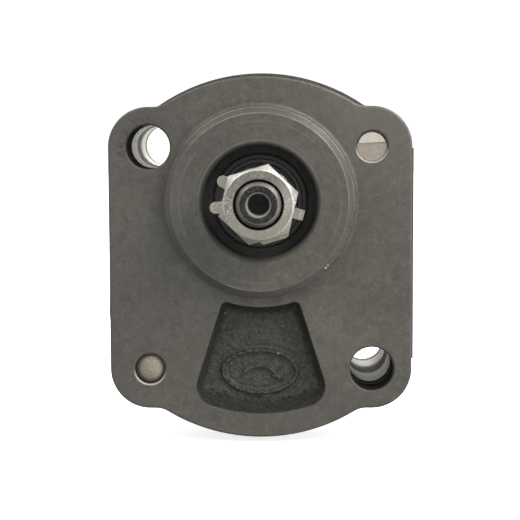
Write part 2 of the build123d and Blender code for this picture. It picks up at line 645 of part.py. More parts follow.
# tab washer: round body, two rounded ears, one square ear, one tab bent up against a flat
WASH_Y0, WASH_Y1 = -13.5, -12.2
TAB_ANGLE = NUT_ANGLE - 90.0     # normal of the nut flat that the tab is bent against
with BuildPart() as lock_washer:
    with BuildSketch(at(WASH_Y1)) as sk:
        Circle(13.9)
        with Locations(Location((13.2 * cos(radians(149)), 13.2 * sin(radians(149)), 0), (0, 0, 149))):
            SlotOverall(11.0, 4.6)
        with Locations(Location((13.7 * cos(radians(186)), 13.7 * sin(radians(186)), 0), (0, 0, 186))):
            SlotOverall(11.4, 4.6)
        with Locations(Location((13.3 * cos(radians(-16)), 13.3 * sin(radians(-16)), 0), (0, 0, -16))):
            Rectangle(6.0, 4.2)
        Circle(9.07, mode=Mode.SUBTRACT)
    extrude(amount=WASH_Y1 - WASH_Y0)
    # folded tip of the square ear
    TIP = Plane(origin=(0, 0, 0), x_dir=(cos(radians(-16)), 0, sin(radians(-16))),
                z_dir=(-sin(radians(-16)), 0, cos(radians(-16))))
    with BuildSketch(TIP.offset(-2.1)):
        with BuildLine():
            Polyline((16.0, WASH_Y0), (16.7, WASH_Y0 + 0.3), (18.1, WASH_Y0 + 1.9), (17.2, WASH_Y1 + 1.4), (16.0, WASH_Y1), close=True)
        make_face()
    extrude(amount=4.2)
    # tab bent forward against one flat of the nut
    TAB = Plane(origin=(0, 0, 0), x_dir=(cos(radians(TAB_ANGLE)), 0, sin(radians(TAB_ANGLE))), z_dir=(0, -1, 0))
    with BuildSketch(TAB.offset(-WASH_Y1)):
        with Locations((13.4, 1.9)):
            Rectangle(4.0, 11.0)
    extrude(amount=WASH_Y1 - WASH_Y0)
    with BuildSketch(TAB.offset(-WASH_Y1)) as sk:
        with Locations((14.6, 1.9)):
            Rectangle(1.5, 11.0)
        fillet(sk.vertices().group_by(Axis.X)[-1], 1.35)
    extrude(amount=WASH_Y1 - WASH_Y0 + 9.2)
finish_piece(lock_washer, "lock_washer")

# snap rings on the shaft: one holds the bearing, one holds the rotor
with BuildPart() as shaft_circlip:
    with BuildSketch(at(32.6)):
        Circle(14.4)
        Circle(11.85, mode=Mode.SUBTRACT)
        with Locations((0, -13.5)):
            Rectangle(5, 8, mode=Mode.SUBTRACT)
    extrude(amount=1.2)
finish_piece(shaft_circlip, "shaft_circlip")

with BuildPart() as rotor_circlip:
    with BuildSketch(at(62.4)):
        Circle(11.8)
        Circle(9.35, mode=Mode.SUBTRACT)
        with Locations((0, -11)):
            Rectangle(4, 7, mode=Mode.SUBTRACT)
    extrude(amount=1.1)
finish_piece(rotor_circlip, "rotor_circlip")

with BuildPart() as rear_bush:
    with BuildSketch(Plane.XY):
        with BuildLine():
            Polyline((9.04, 74.5), (9.5, 74.0), (11.0, 74.0), (11.0, 91.9), (9.5, 91.9), (9.04, 91.4), close=True)
        make_face()
    revolve(axis=Axis.Y)
finish_piece(rear_bush, "rear_bush")

# ---------------------------------------------------------------------------
# pumping cartridge
# ---------------------------------------------------------------------------
VANE_ANGLES = [18.0 + 360.0 * i / VANES for i in range(VANES)]


def cam_r(angle):
    """Radius of the cam ring's inner track: small at 0 and 180 degrees, large
    at 90 and 270, with a dwell at each and smooth ramps between."""
    a = abs((angle + 90.0) % 180.0 - 90.0)
    if a < 20.0:
        f = 0.0
    elif a > 70.0:
        f = 1.0
    else:
        f = 0.5 - 0.5 * cos(pi * (a - 20.0) / 50.0)
    return CAM_MIN + (CAM_MAX - CAM_MIN) * f


with BuildPart() as cam_ring:
    with BuildSketch(at(CAM_Y1)):
        Circle(BORE_R - 0.1)
        with BuildLine():
            Spline(*[(cam_r(5.0 * i) * cos(radians(5.0 * i)), cam_r(5.0 * i) * sin(radians(5.0 * i))) for i in range(72)], periodic=True)
        make_face(mode=Mode.SUBTRACT)
        with Locations((22.3, 22.3), (-22.3, -22.3)):
            Circle(2.02, mode=Mode.SUBTRACT)
    extrude(amount=CAM_Y1 - CAM_Y0)
finish_piece(cam_ring, "cam_ring")

with BuildPart() as rotor:
    with BuildSketch(at(CAM_Y1 - 0.04)):
        Circle(ROTOR_R)
        Polygon(*spline_points(1.006), align=None, mode=Mode.SUBTRACT)
        with PolarLocations(19.2, VANES, start_angle=VANE_ANGLES[0]):
            Rectangle(10.2, VANE_T + 0.08, mode=Mode.SUBTRACT)
        with PolarLocations(14.3, VANES, start_angle=VANE_ANGLES[0]):
            Circle(1.3, mode=Mode.SUBTRACT)
    extrude(amount=CAM_Y1 - CAM_Y0 - 0.08)
finish_piece(rotor, "rotor")

for i, angle in enumerate(VANE_ANGLES):
    rc = VANE_TIP - VANE_H / 2
    with BuildPart() as vane:
        with BuildSketch(at(CAM_Y1 - 0.05)) as sk:
            with Locations(Location((rc * cos(radians(angle)), rc * sin(radians(angle)), 0), (0, 0, angle))):
                Rectangle(VANE_H, VANE_T)
            fillet(sorted(sk.vertices(), key=lambda v: hypot(v.X, v.Y))[-2:], 0.75)
        extrude(amount=CAM_Y1 - CAM_Y0 - 0.10)
    finish_piece(vane, f"vane_{i + 1:02d}")

KIDNEYS = [50.0, 130.0, 230.0, 310.0]


def kidney_slots(r, start_angles, sweep, width):
    for a in start_angles:
        SlotArc(CenterArc((0, 0), r, a - sweep / 2, sweep, mode=Mode.PRIVATE), width, mode=Mode.SUBTRACT)


with BuildPart() as front_port_plate:
    with BuildSketch(at(CAM_Y0)):
        Circle(BORE_R - 0.1)
        Circle(13.2, mode=Mode.SUBTRACT)
        kidney_slots(24.6, KIDNEYS, 38.0, 4.6)
        with Locations((22.3, 22.3), (-22.3, -22.3)):
            Circle(2.02, mode=Mode.SUBTRACT)
    extrude(amount=CAM_Y0 - Y_BODY - 0.02)
    with BuildSketch(at(Y_BODY + 3.2)):
        Circle(16.5)
    extrude(amount=3.2, mode=Mode.SUBTRACT)
    ring_groove(BORE_R - 2.0, BORE_R + 1, 35.2, 37.6)
finish_piece(front_port_plate, "front_port_plate")

with BuildPart() as rear_port_plate:
    with BuildSketch(at(69.8)):
        Circle(BORE_R - 0.1)
        Circle(12.6, mode=Mode.SUBTRACT)
        kidney_slots(24.6, KIDNEYS, 38.0, 4.6)
    extrude(amount=69.8 - CAM_Y1)
    with BuildSketch(at(CAM_Y1 + 4)):
        with Locations((22.3, 22.3), (-22.3, -22.3)):
            Circle(2.02)
    extrude(amount=4, mode=Mode.SUBTRACT)
    ring_groove(BORE_R - 2.0, BORE_R + 1, 65.2, 67.6)
finish_piece(rear_port_plate, "rear_port_plate")

with BuildPart() as cartridge_dowels:
    with BuildSketch(at(CAM_Y1 + 3.8)):
        with Locations((22.3, 22.3), (-22.3, -22.3)):
            Circle(2.0)
    extrude(amount=CAM_Y1 + 3.8 - 32.5)
finish_piece(cartridge_dowels, "cartridge_dowels")

with BuildPart() as plate_orings:
    with BuildSketch(Plane.XY):
        with Locations((34.95, 36.4), (34.95, 66.4)):
            Circle(0.93)
    revolve(axis=Axis.Y)
finish_piece(plate_orings, "plate_orings")

with BuildPart() as plate_spring:
    with BuildSketch(Plane.XY):
        with BuildLine():
            Polyline((23.0, 69.9), (23.2, 69.82), (33.5, 71.3), (33.5, 71.95), (33.2, 71.95), (23.0, 70.5), close=True)
        make_face()
    revolve(axis=Axis.Y)
finish_piece(plate_spring, "plate_spring")

# ---------------------------------------------------------------------------
# flow and relief valve, on the line y = VALVE_Y, z = VALVE_Z
# ---------------------------------------------------------------------------
VALVE_LINE = Plane(origin=(0, VALVE_Y, VALVE_Z), x_dir=(1, 0, 0), z_dir=(0, 0, 1))
SPOOL_X0, SPOOL_X1 = -4.0, 36.0
VALVE_AXIS = Axis((0, VALVE_Y, VALVE_Z), (1, 0, 0))

with BuildPart() as valve_plug:
    with BuildSketch(across(-61.1)):
        with Locations((VALVE_Y, VALVE_Z)):
            RegularPolygon(12.0, 6, major_radius=False)
    extrude(amount=-4.4)
    with BuildSketch(VALVE_LINE):
        with BuildLine():
            Polyline((-66.4, 0), (-66.4, 11.0), (-64.6, 14.4), (-61.0, 14.4), (-61.0, 0), close=True)
        make_face()
    revolve(axis=VALVE_AXIS, mode=Mode.INTERSECT)
    with BuildSketch(VALVE_LINE):
        with BuildLine():
            Polyline((-61.2, 0), (-61.2, 8.2), (-58.4, 8.2), (-58.4, 10.15), (-46.8, 10.15), (-46.1, 9.4), (-46.1, 6.6), (-57.0, 6.6), (-57.0, 0), close=True)
        make_face()
    revolve(axis=VALVE_AXIS)
finish_piece(valve_plug, "valve_plug")

with BuildPart() as plug_oring:
    with BuildSketch(VALVE_LINE):
        with Locations((-59.6, 9.15)):
            Circle(0.9)
    revolve(axis=VALVE_AXIS)
finish_piece(plug_oring, "plug_oring")

with BuildPart() as flow_spool:
    with BuildSketch(VALVE_LINE):
        with BuildLine():
            Polyline((SPOOL_X0, 4.35), (SPOOL_X0, 7.6), (SPOOL_X0 + 0.4, 7.97), (10.0, 7.97), (10.0, 5.6), (16.0, 5.6), (16.0, 7.97),
                     (21.0, 7.97), (21.0, 7.2), (21.8, 7.2), (21.8, 7.97), (24.0, 7.97), (24.0, 7.2), (24.8, 7.2), (24.8, 7.97),
                     (SPOOL_X1 - 2.0, 7.97), (SPOOL_X1, 6.0), (SPOOL_X1, 0), (22.0, 0), (22.0, 3.75), (2.0, 3.75), (2.0, 4.35), close=True)
        make_face()
    revolve(axis=VALVE_AXIS)
    with BuildSketch(Plane.XY.offset(VALVE_Z)):
        with Locations((13.0, VALVE_Y)):
            Circle(1.2)
    extrude(amount=8, both=True, mode=Mode.SUBTRACT)
finish_piece(flow_spool, "flow_spool")

with BuildPart() as relief_seat:
    with BuildSketch(VALVE_LINE):
        with BuildLine():
            Polyline((SPOOL_X0, 1.4), (SPOOL_X0, 4.3), (1.9, 4.3), (1.9, 2.0), (1.3, 1.4), close=True)
        make_face()
    revolve(axis=VALVE_AXIS)
finish_piece(relief_seat, "relief_seat")

with BuildPart() as relief_poppet:
    with BuildSketch(VALVE_LINE):
        with BuildLine():
            Polyline((1.7, 0), (1.7, 0.9), (3.6, 2.6), (3.6, 3.7), (7.2, 3.7), (7.2, 1.9), (9.5, 1.9), (9.5, 0), close=True)
        make_face()
    revolve(axis=VALVE_AXIS)
finish_piece(relief_poppet, "relief_poppet")

FLOW_COIL_R, FLOW_WIRE_R = 5.5, 0.65
with BuildPart() as flow_spring:
    with BuildLine() as path:
        Helix(pitch=5.6, height=40.2, radius=FLOW_COIL_R, center=(-45.2, VALVE_Y, VALVE_Z), direction=(1, 0, 0))
    with BuildSketch(Plane(origin=path.line @ 0, z_dir=path.line % 0)):
        Circle(FLOW_WIRE_R)
    sweep(path=path.line, is_frenet=True)
finish_piece(flow_spring, "flow_spring")

RELIEF_COIL_R, RELIEF_WIRE_R = 2.8, 0.4
with BuildPart() as relief_spring:
    with BuildLine() as path:
        Helix(pitch=2.0, height=13.2, radius=RELIEF_COIL_R, center=(8.2, VALVE_Y, VALVE_Z), direction=(1, 0, 0))
    with BuildSketch(Plane(origin=path.line @ 0, z_dir=path.line % 0)):
        Circle(RELIEF_WIRE_R)
    sweep(path=path.line, is_frenet=True)
finish_piece(relief_spring, "relief_spring")

with BuildPart() as discharge_orifice:
    with BuildSketch(VALVE_LINE):
        with BuildLine():
            Polyline((36.4, 3.2), (36.4, 7.95), (44.0, 7.95), (44.0, 4.8), (40.5, 2.2), (38.0, 2.2), close=True)
        make_face()
    revolve(axis=VALVE_AXIS)
finish_piece(discharge_orifice, "discharge_orifice")
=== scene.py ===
import bpy
import bmesh
import json
import math
from mathutils import Matrix, Vector, noise as mnoise


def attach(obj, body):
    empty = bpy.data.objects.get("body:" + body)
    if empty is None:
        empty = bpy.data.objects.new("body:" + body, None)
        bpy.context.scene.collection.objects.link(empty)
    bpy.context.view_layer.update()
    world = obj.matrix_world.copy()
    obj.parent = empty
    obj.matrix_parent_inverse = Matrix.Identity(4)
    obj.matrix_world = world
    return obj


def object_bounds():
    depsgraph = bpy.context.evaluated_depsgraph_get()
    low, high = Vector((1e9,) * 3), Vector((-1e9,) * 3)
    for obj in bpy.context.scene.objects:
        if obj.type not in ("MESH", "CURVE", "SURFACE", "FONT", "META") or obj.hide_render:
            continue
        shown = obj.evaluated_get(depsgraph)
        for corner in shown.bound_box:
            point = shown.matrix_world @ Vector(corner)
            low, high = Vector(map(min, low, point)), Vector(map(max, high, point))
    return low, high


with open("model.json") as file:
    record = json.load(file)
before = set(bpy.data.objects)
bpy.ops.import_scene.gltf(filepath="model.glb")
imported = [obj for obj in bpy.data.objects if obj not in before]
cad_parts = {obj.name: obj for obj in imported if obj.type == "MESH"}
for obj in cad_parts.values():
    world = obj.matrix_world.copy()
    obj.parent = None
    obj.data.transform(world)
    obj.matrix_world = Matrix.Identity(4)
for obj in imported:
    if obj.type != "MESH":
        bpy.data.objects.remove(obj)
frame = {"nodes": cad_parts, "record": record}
cad_lo, cad_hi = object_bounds()
N = frame["nodes"]
scene = bpy.context.scene
scene.view_settings.view_transform = "Standard"

# ------------------------------------------------------------------ camera
YAW, PITCH, ROLL = math.radians(-1.348), math.radians(-4.907), math.radians(-0.261)
fw = Vector((math.sin(YAW) * math.cos(PITCH), math.cos(YAW) * math.cos(PITCH), math.sin(PITCH)))
right = fw.cross(Vector((0, 0, 1))).normalized()
up = right.cross(fw)
r2 = right * math.cos(ROLL) + up * math.sin(ROLL)
u2 = up * math.cos(ROLL) - right * math.sin(ROLL)
cam_data = bpy.data.cameras.new("camera")
cam = bpy.data.objects.new("camera", cam_data)
scene.collection.objects.link(cam)
cam.rotation_mode = "QUATERNION"
cam.rotation_quaternion = Matrix((r2, u2, -fw)).transposed().to_quaternion()
cam.location = (0.01374, -0.5888, 0.02727)
cam_data.sensor_width = 36.0
cam_data.lens = 102.67
cam_data.clip_start, cam_data.clip_end = 0.01, 20
scene.camera = cam


# ------------------------------------------------------------------ light
def area(name, loc, aim, size, power, size_y=None, color=(1, 1, 1)):
    d = bpy.data.lights.new(name, "AREA")
    d.energy = power
    d.size = size
    d.color = color
    if size_y:
        d.shape = "RECTANGLE"
        d.size_y = size_y
    o = bpy.data.objects.new(name, d)
    scene.collection.objects.link(o)
    o.location = loc
    o.rotation_mode = "QUATERNION"
    o.rotation_quaternion = (Vector(aim) - Vector(loc)).to_track_quat("-Z", "Y")
    return o


area("key", (0.55, -0.42, 0.62), (0, 0, 0), 0.40, 4.1, color=(1.0, 0.985, 0.96))
area("top_left", (-0.48, -0.36, 0.62), (0, 0, 0), 0.30, 1.1)
area("right_strip", (0.80, -0.42, 0.02), (0, 0, 0), 0.30, 0.35, size_y=0.6)
area("back", (0.1, 0.95, 0.75), (0, 0.05, -0.02), 0.9, 6.5)
area("side", (0.95, 0.35, 0.35), (0, 0.04, -0.02), 0.6, 2.4)
area("side_left", (-0.95, 0.45, 0.30), (0, 0.04, -0.02), 0.6, 2.1)

world = bpy.data.worlds.new("world")
scene.world = world
world.use_nodes = True
wt = world.node_tree
for n in list(wt.nodes):
    wt.nodes.remove(n)


def w_ramp(v, a, b, lo, hi):
    n = wt.nodes.new("ShaderNodeMapRange")
    n.interpolation_type = "SMOOTHSTEP"
    wt.links.new(v, n.inputs[0])
    for i, x in enumerate((a, b, lo, hi)):
        n.inputs[i + 1].default_value = x
    return n.outputs[0]


def w_sum(*terms):
    acc = terms[0]
    for t in terms[1:]:
        n = wt.nodes.new("ShaderNodeMath")
        n.operation = "ADD"
        wt.links.new(acc, n.inputs[0])
        wt.links.new(t, n.inputs[1])
        acc = n.outputs[0]
    return acc


# a soft white studio: bright above and behind, dimmer in front, dark below
w_tc = wt.nodes.new("ShaderNodeTexCoord")
w_sep = wt.nodes.new("ShaderNodeSeparateXYZ")
wt.links.new(w_tc.outputs["Generated"], w_sep.inputs[0])
w_bg = wt.nodes.new("ShaderNodeBackground")
level = w_sum(
    w_ramp(w_sep.outputs[2], -0.97, -0.40, 0.24, 0.69),
    w_ramp(w_sep.outputs[2], 0.10, 0.95, 0.0, 0.30),
    w_ramp(w_sep.outputs[0], -0.7, 0.7, -0.14, 0.30),
    w_ramp(w_sep.outputs[1], 0.05, 0.95, 0.0, 0.38),
)
wt.links.new(level, w_bg.inputs[1])
w_bg.inputs[0].default_value = (1.0, 0.99, 0.972, 1)
w_white = wt.nodes.new("ShaderNodeBackground")
w_white.inputs[0].default_value = (1, 1, 1, 1)
w_white.inputs[1].default_value = 1.1
w_lp = wt.nodes.new("ShaderNodeLightPath")
w_mix = wt.nodes.new("ShaderNodeMixShader")
w_out = wt.nodes.new("ShaderNodeOutputWorld")
wt.links.new(w_lp.outputs["Is Camera Ray"], w_mix.inputs[0])
wt.links.new(w_bg.outputs[0], w_mix.inputs[1])
wt.links.new(w_white.outputs[0], w_mix.inputs[2])
wt.links.new(w_mix.outputs[0], w_out.inputs[0])


# ------------------------------------------------------------------ material kit
class Mat:
    """A small node builder. Lengths are in millimetres of the row frame."""

    def __init__(self, name):
        self.m = bpy.data.materials.new(name)
        self.m.use_nodes = True
        self.t = self.m.node_tree
        self.b = self.t.nodes["Principled BSDF"]
        tc = self.t.nodes.new("ShaderNodeTexCoord")
        sc = self.t.nodes.new("ShaderNodeVectorMath")
        sc.operation = "SCALE"
        sc.inputs["Scale"].default_value = 1000.0
        self.t.links.new(tc.outputs["Object"], sc.inputs[0])
        self.P = sc.outputs[0]
        sep = self.t.nodes.new("ShaderNodeSeparateXYZ")
        self.t.links.new(self.P, sep.inputs[0])
        self.X, self.Y, self.Z = sep.outputs
        self.R = self.sqrt(self.add(self.mul(self.X, self.X), self.mul(self.Z, self.Z)))
        geo = self.t.nodes.new("ShaderNodeNewGeometry")
        gs = self.t.nodes.new("ShaderNodeSeparateXYZ")
        self.t.links.new(geo.outputs["True Normal"], gs.inputs[0])
        self.NX, self.NY, self.NZ = gs.outputs
        self.pointiness = geo.outputs["Pointiness"]

    def _in(self, node, i, v):
        if isinstance(v, (int, float)):
            node.inputs[i].default_value = v
        elif isinstance(v, (tuple, list)):
            sock = node.inputs[i]
            if sock.type == "RGBA" and len(v) == 3:
                v = (*v, 1.0)
            sock.default_value = v
        elif v is not None:
            self.t.links.new(v, node.inputs[i])

    def math(self, op, a, b=None, c=None, clamp=False):
        n = self.t.nodes.new("ShaderNodeMath")
        n.operation = op
        n.use_clamp = clamp
        self._in(n, 0, a)
        if b is not None:
            self._in(n, 1, b)
        if c is not None:
            self._in(n, 2, c)
        return n.outputs[0]

    def add(self, a, b, clamp=False): return self.math("ADD", a, b, clamp=clamp)
    def sub(self, a, b, clamp=False): return self.math("SUBTRACT", a, b, clamp=clamp)
    def mul(self, a, b, clamp=False): return self.math("MULTIPLY", a, b, clamp=clamp)
    def div(self, a, b): return self.math("DIVIDE", a, b)
    def sqrt(self, a): return self.math("SQRT", a)
    def absv(self, a): return self.math("ABSOLUTE", a)
    def inv(self, a): return self.math("SUBTRACT", 1.0, a, clamp=True)
    def maxv(self, a, b): return self.math("MAXIMUM", a, b)
    def minv(self, a, b): return self.math("MINIMUM", a, b)

    def vec(self, sx=1.0, sy=1.0, sz=1.0, src=None):
        n = self.t.nodes.new("ShaderNodeVectorMath")
        n.operation = "MULTIPLY"
        self._in(n, 0, src or self.P)
        n.inputs[1].default_value = (sx, sy, sz)
        return n.outputs[0]

    def combine(self, x, y, z):
        n = self.t.nodes.new("ShaderNodeCombineXYZ")
        self._in(n, 0, x), self._in(n, 1, y), self._in(n, 2, z)
        return n.outputs[0]

    def noise(self, scale, detail=2.0, rough=0.5, vec=None, dist=0.0, lac=2.0, w=None):
        n = self.t.nodes.new("ShaderNodeTexNoise")
        if w is not None:
            n.noise_dimensions = "4D"
            n.inputs["W"].default_value = w
        self.t.links.new(vec or self.P, n.inputs["Vector"])
        n.inputs["Scale"].default_value = scale
        n.inputs["Detail"].default_value = detail
        n.inputs["Roughness"].default_value = rough
        n.inputs["Lacunarity"].default_value = lac
        n.inputs["Distortion"].default_value = dist
        return n.outputs[0]

    def voronoi(self, scale, feature="F1", out="Distance", vec=None, rand=1.0, smooth=None):
        n = self.t.nodes.new("ShaderNodeTexVoronoi")
        n.feature = feature
        self.t.links.new(vec or self.P, n.inputs["Vector"])
        n.inputs["Scale"].default_value = scale
        n.inputs["Randomness"].default_value = rand
        if smooth is not None and "Smoothness" in n.inputs:
            n.inputs["Smoothness"].default_value = smooth
        return n.outputs[out]

    def step(self, v, a, b, lo=0.0, hi=1.0, kind="SMOOTHSTEP"):
        """v mapped from a..b to lo..hi, smooth and clamped."""
        n = self.t.nodes.new("ShaderNodeMapRange")
        n.interpolation_type = kind
        n.clamp = True
        self._in(n, 0, v)
        if a > b:
            a, b, lo, hi = b, a, hi, lo
        for i, x in enumerate((a, b, lo, hi)):
            n.inputs[i + 1].default_value = x
        return n.outputs[0]

    def band(self, v, centre, half, soft=None):
        """1 where v is within half of centre, falling off over soft on each side."""
        soft = half if soft is None else soft
        return self.step(self.absv(self.sub(v, centre)), half + soft, max(half - soft, 0.0))

    def dist2(self, cx, cz):
        """Distance from the line x = cx, z = cz."""
        dx, dz = self.sub(self.X, cx), self.sub(self.Z, cz)
        return self.sqrt(self.add(self.mul(dx, dx), self.mul(dz, dz)))

    def mix(self, fac, a, b, blend="MIX"):
        n = self.t.nodes.new("ShaderNodeMix")
        n.data_type = "RGBA"
        n.blend_type = blend
        n.clamp_factor = True
        self._in(n, 0, fac)
        for i, v in ((6, a), (7, b)):
            self._in(n, i, v)
        return n.outputs[2]

    def lerp(self, fac, a, b):
        n = self.t.nodes.new("ShaderNodeMix")
        n.data_type = "FLOAT"
        n.clamp_factor = True
        self._in(n, 0, fac)
        self._in(n, 2, a)
        self._in(n, 3, b)
        return n.outputs[0]

    def bevel(self, radius_mm):
        n = self.t.nodes.new("ShaderNodeBevel")
        n.samples = 6
        n.inputs["Radius"].default_value = radius_mm / 1000.0
        return n.outputs[0]

    def bump(self, height, dist_mm, strength=1.0, normal=None):
        n = self.t.nodes.new("ShaderNodeBump")
        n.inputs["Strength"].default_value = strength
        n.inputs["Distance"].default_value = dist_mm / 1000.0
        self.t.links.new(height, n.inputs["Height"])
        if normal is not None:
            self.t.links.new(normal, n.inputs["Normal"])
        return n.outputs[0]

    def out(self, color=None, rough=None, metal=None, normal=None, **fixed):
        if color is not None:
            self._in(self.b, self.b.inputs.find("Base Color"), color)
        if rough is not None:
            self._in(self.b, self.b.inputs.find("Roughness"), rough)
        if metal is not None:
            self._in(self.b, self.b.inputs.find("Metallic"), metal)
        if normal is not None:
            self.t.links.new(normal, self.b.inputs["Normal"])
        for k, v in fixed.items():
            self.b.inputs[k.replace("_", " ")].default_value = v
        return self.m


HP, FCZ = 44.45, -22.7
UP_Z, LO_Z = FCZ + HP, FCZ - HP


# ------------------------------------------------------------------ cast-iron cover
def iron_cover():
    m = Mat("iron_cover")
    # tones of the machined, oiled faces
    cloud = m.noise(0.030, 3.0, 0.55, w=1.7)
    patch = m.noise(0.12, 4.0, 0.62, w=4.2, dist=0.7)
    blot = m.noise(0.36, 3.0, 0.6, w=6.1, dist=0.5)
    grain = m.noise(0.95, 4.0, 0.7, w=2.0)
    fine = m.noise(3.2, 3.0, 0.6, w=8.0)
    streak = m.noise(1.0, 3.0, 0.6, vec=m.vec(0.55, 0.02, 0.03), w=3.0)
    base = m.mix(m.step(cloud, 0.35, 0.68), (0.128, 0.121, 0.107), (0.158, 0.149, 0.132))
    base = m.mix(m.mul(m.step(patch, 0.42, 0.70), 0.50), base, (0.094, 0.090, 0.078))
    base = m.mix(m.mul(m.step(blot, 0.50, 0.68), 0.48), base, (0.090, 0.086, 0.076))
    base = m.mix(m.mul(m.step(blot, 0.46, 0.30), 0.42), base, (0.198, 0.188, 0.168))
    base = m.mix(m.mul(m.step(grain, 0.50, 0.68), 0.46), base, (0.072, 0.070, 0.062))
    base = m.mix(m.mul(m.step(grain, 0.46, 0.30), 0.40), base, (0.225, 0.215, 0.194))
    base = m.mix(m.mul(m.step(streak, 0.50, 0.75), 0.18), base, (0.175, 0.168, 0.152))
    base = m.mix(m.mul(m.step(fine, 0.55, 0.80), 0.16), base, (0.22, 0.21, 0.19))
    # greenish oil film on the lower left of the pilot, brownish film elsewhere
    oil_n = m.noise(0.09, 3.0, 0.6, w=9.0, dist=0.8)
    dx, dz = m.sub(m.X, -25.0), m.sub(m.Z, -17.0)
    near = m.sqrt(m.add(m.mul(dx, dx), m.mul(dz, dz)))
    green = m.mul(m.step(near, 27.0, 6.0), m.step(oil_n, 0.34, 0.58))
    base = m.mix(m.mul(green, 0.55), base, (0.072, 0.086, 0.076))
    brown_n = m.noise(0.06, 3.0, 0.6, w=12.0, dist=1.0)
    base = m.mix(m.mul(m.step(brown_n, 0.55, 0.72), 0.35), base, (0.122, 0.105, 0.080))
    # painted shade and light: the left side, the bottom, the upper left and the top of the pilot are painted darker and
    # the right and upper right lighter, as if lit from the upper right
    side = m.maxv(m.step(m.X, 20.0, -62.0), m.step(m.Z, -76.0, -90.0))
    base = m.mix(m.mul(side, 0.22), base, (0.078, 0.077, 0.068))
    # painted shade on the top of the pilot
    pil_t = m.mul(m.step(m.R, 38.2, 37.6), m.step(m.add(m.mul(m.X, 0.4), m.mul(m.Z, 0.92)), -8.0, 24.0))
    base = m.mix(m.mul(pil_t, 0.16), base, (0.050, 0.049, 0.044))
    # painted shade on the upper left, painted light on the right and upper right
    base = m.mix(m.mul(m.mul(m.step(m.X, -18.0, -50.0), m.step(m.Z, 12.0, 40.0)), 0.20), base, (0.058, 0.056, 0.050))
    base = m.mix(m.mul(m.mul(m.step(m.X, 12.0, 50.0), m.step(m.Z, -10.0, 40.0)), 0.30), base, (0.215, 0.205, 0.183))
    # turning marks on the pilot's face
    on_pilot = m.step(m.Y, -5.2, -5.6)
    turn_v = m.combine(m.mul(m.R, 1.0), 0.0, m.mul(m.Y, 0.4))
    turn = m.noise(1.3, 5.0, 0.75, vec=turn_v, w=5.0)
    swirl = m.step(m.noise(0.075, 2.0, 0.5, w=6.0), 0.42, 0.62)
    turn_vis = m.mul(m.mul(on_pilot, m.lerp(swirl, 0.25, 1.0)), 0.50)
    base = m.mix(m.mul(m.step(turn, 0.52, 0.62), turn_vis), base, (0.195, 0.188, 0.170))
    base = m.mix(m.mul(m.step(turn, 0.47, 0.38), m.mul(turn_vis, 0.8)), base, (0.080, 0.078, 0.069))
    # painted highlights with wear: bright lines on the pilot's two edges, broken by worn nicks, strongest above, where
    # the light falls, and straight below; a painted highlight on the upper rim of the recess
    edge_n = m.noise(0.11, 3.0, 0.65, w=14.0)
    ang_hi = m.step(m.add(m.mul(m.X, 0.35), m.mul(m.Z, 0.94)), 2.0, 24.0)
    low_arc = m.mul(m.step(m.Z, -29.0, -33.5), m.step(m.absv(m.add(m.X, 6.0)), 19.0, 8.0))
    nickn = m.step(edge_n, 0.40, 0.62)
    outer_edge_wear_and_highlight = m.mul(m.band(m.R, 37.45, 0.16, 0.26), m.step(m.Y, -5.0, -5.6))
    inner_edge_wear_and_highlight = m.mul(m.band(m.R, 35.0, 0.16, 0.26), m.step(m.Y, -7.5, -7.85))
    recess_lip_highlight = m.mul(m.band(m.R, 24.3, 0.15, 0.5), m.step(m.Y, -7.4, -7.9))
    base = m.mix(m.mul(outer_edge_wear_and_highlight, m.mul(m.lerp(nickn, 0.5, 1.0), m.lerp(ang_hi, 0.10, 0.85))), base, (0.36, 0.35, 0.32))
    base = m.mix(m.mul(inner_edge_wear_and_highlight, m.mul(m.lerp(nickn, 0.45, 1.0), m.maxv(m.lerp(ang_hi, 0.22, 0.60), m.mul(low_arc, 0.95)))), base, (0.34, 0.33, 0.30))
    base = m.mix(m.mul(recess_lip_highlight, m.mul(m.step(m.Z, -10.0, 20.0), 0.30)), base, (0.28, 0.27, 0.25))
    # small bright nicks and scratches
    cell = m.voronoi(0.085, vec=m.P)
    nick = m.mul(m.step(cell, 0.045, 0.020), m.step(m.noise(0.31, 1.0, 0.5, w=21.0), 0.55, 0.60))
    base = m.mix(m.mul(nick, 0.8), base, (0.45, 0.44, 0.41))
    pair = m.step(m.dist2(25.9, -25.9), 0.50, 0.30)
    pair = m.maxv(pair, m.step(m.dist2(26.8, -24.9), 0.42, 0.22))
    base = m.mix(m.mul(pair, m.mul(on_pilot, 0.9)), base, (0.75, 0.74, 0.72))
    rot = m.combine(m.add(m.mul(m.X, 0.80), m.mul(m.Z, 0.60)), m.Y, m.sub(m.mul(m.Z, 0.80), m.mul(m.X, 0.60)))
    scr = m.noise(1.0, 2.0, 0.5, vec=m.vec(0.05, 0.3, 2.6, src=rot), w=30.0)
    base = m.mix(m.mul(m.step(scr, 0.72, 0.75), 0.35), base, (0.26, 0.25, 0.23))
    # painted shade round the pilot's foot and on its slope, mostly below and to the left; the slope is also painted
    # darker on its upper right
    foot = m.mul(m.band(m.R, 38.6, 1.9, 1.7), m.step(m.Y, -5.9, -5.2))
    slope = m.mul(m.band(m.R, 36.3, 1.1, 0.3), m.step(m.Y, -5.8, -6.1))
    low = m.step(m.add(m.mul(m.X, 0.45), m.mul(m.Z, 0.89)), 22.0, -26.0)
    base = m.mix(m.mul(m.maxv(foot, m.mul(slope, 0.75)), m.lerp(low, 0.03, 0.05)), base, (0.045, 0.045, 0.040))
    slope_hi = m.mul(m.band(m.R, 36.3, 1.0, 0.3), m.mul(m.step(m.Y, -5.9, -6.1), m.step(m.add(m.mul(m.X, 0.6), m.mul(m.Z, 0.8)), 6.0, 26.0)))
    base = m.mix(m.mul(slope_hi, 0.30), base, (0.070, 0.068, 0.061))
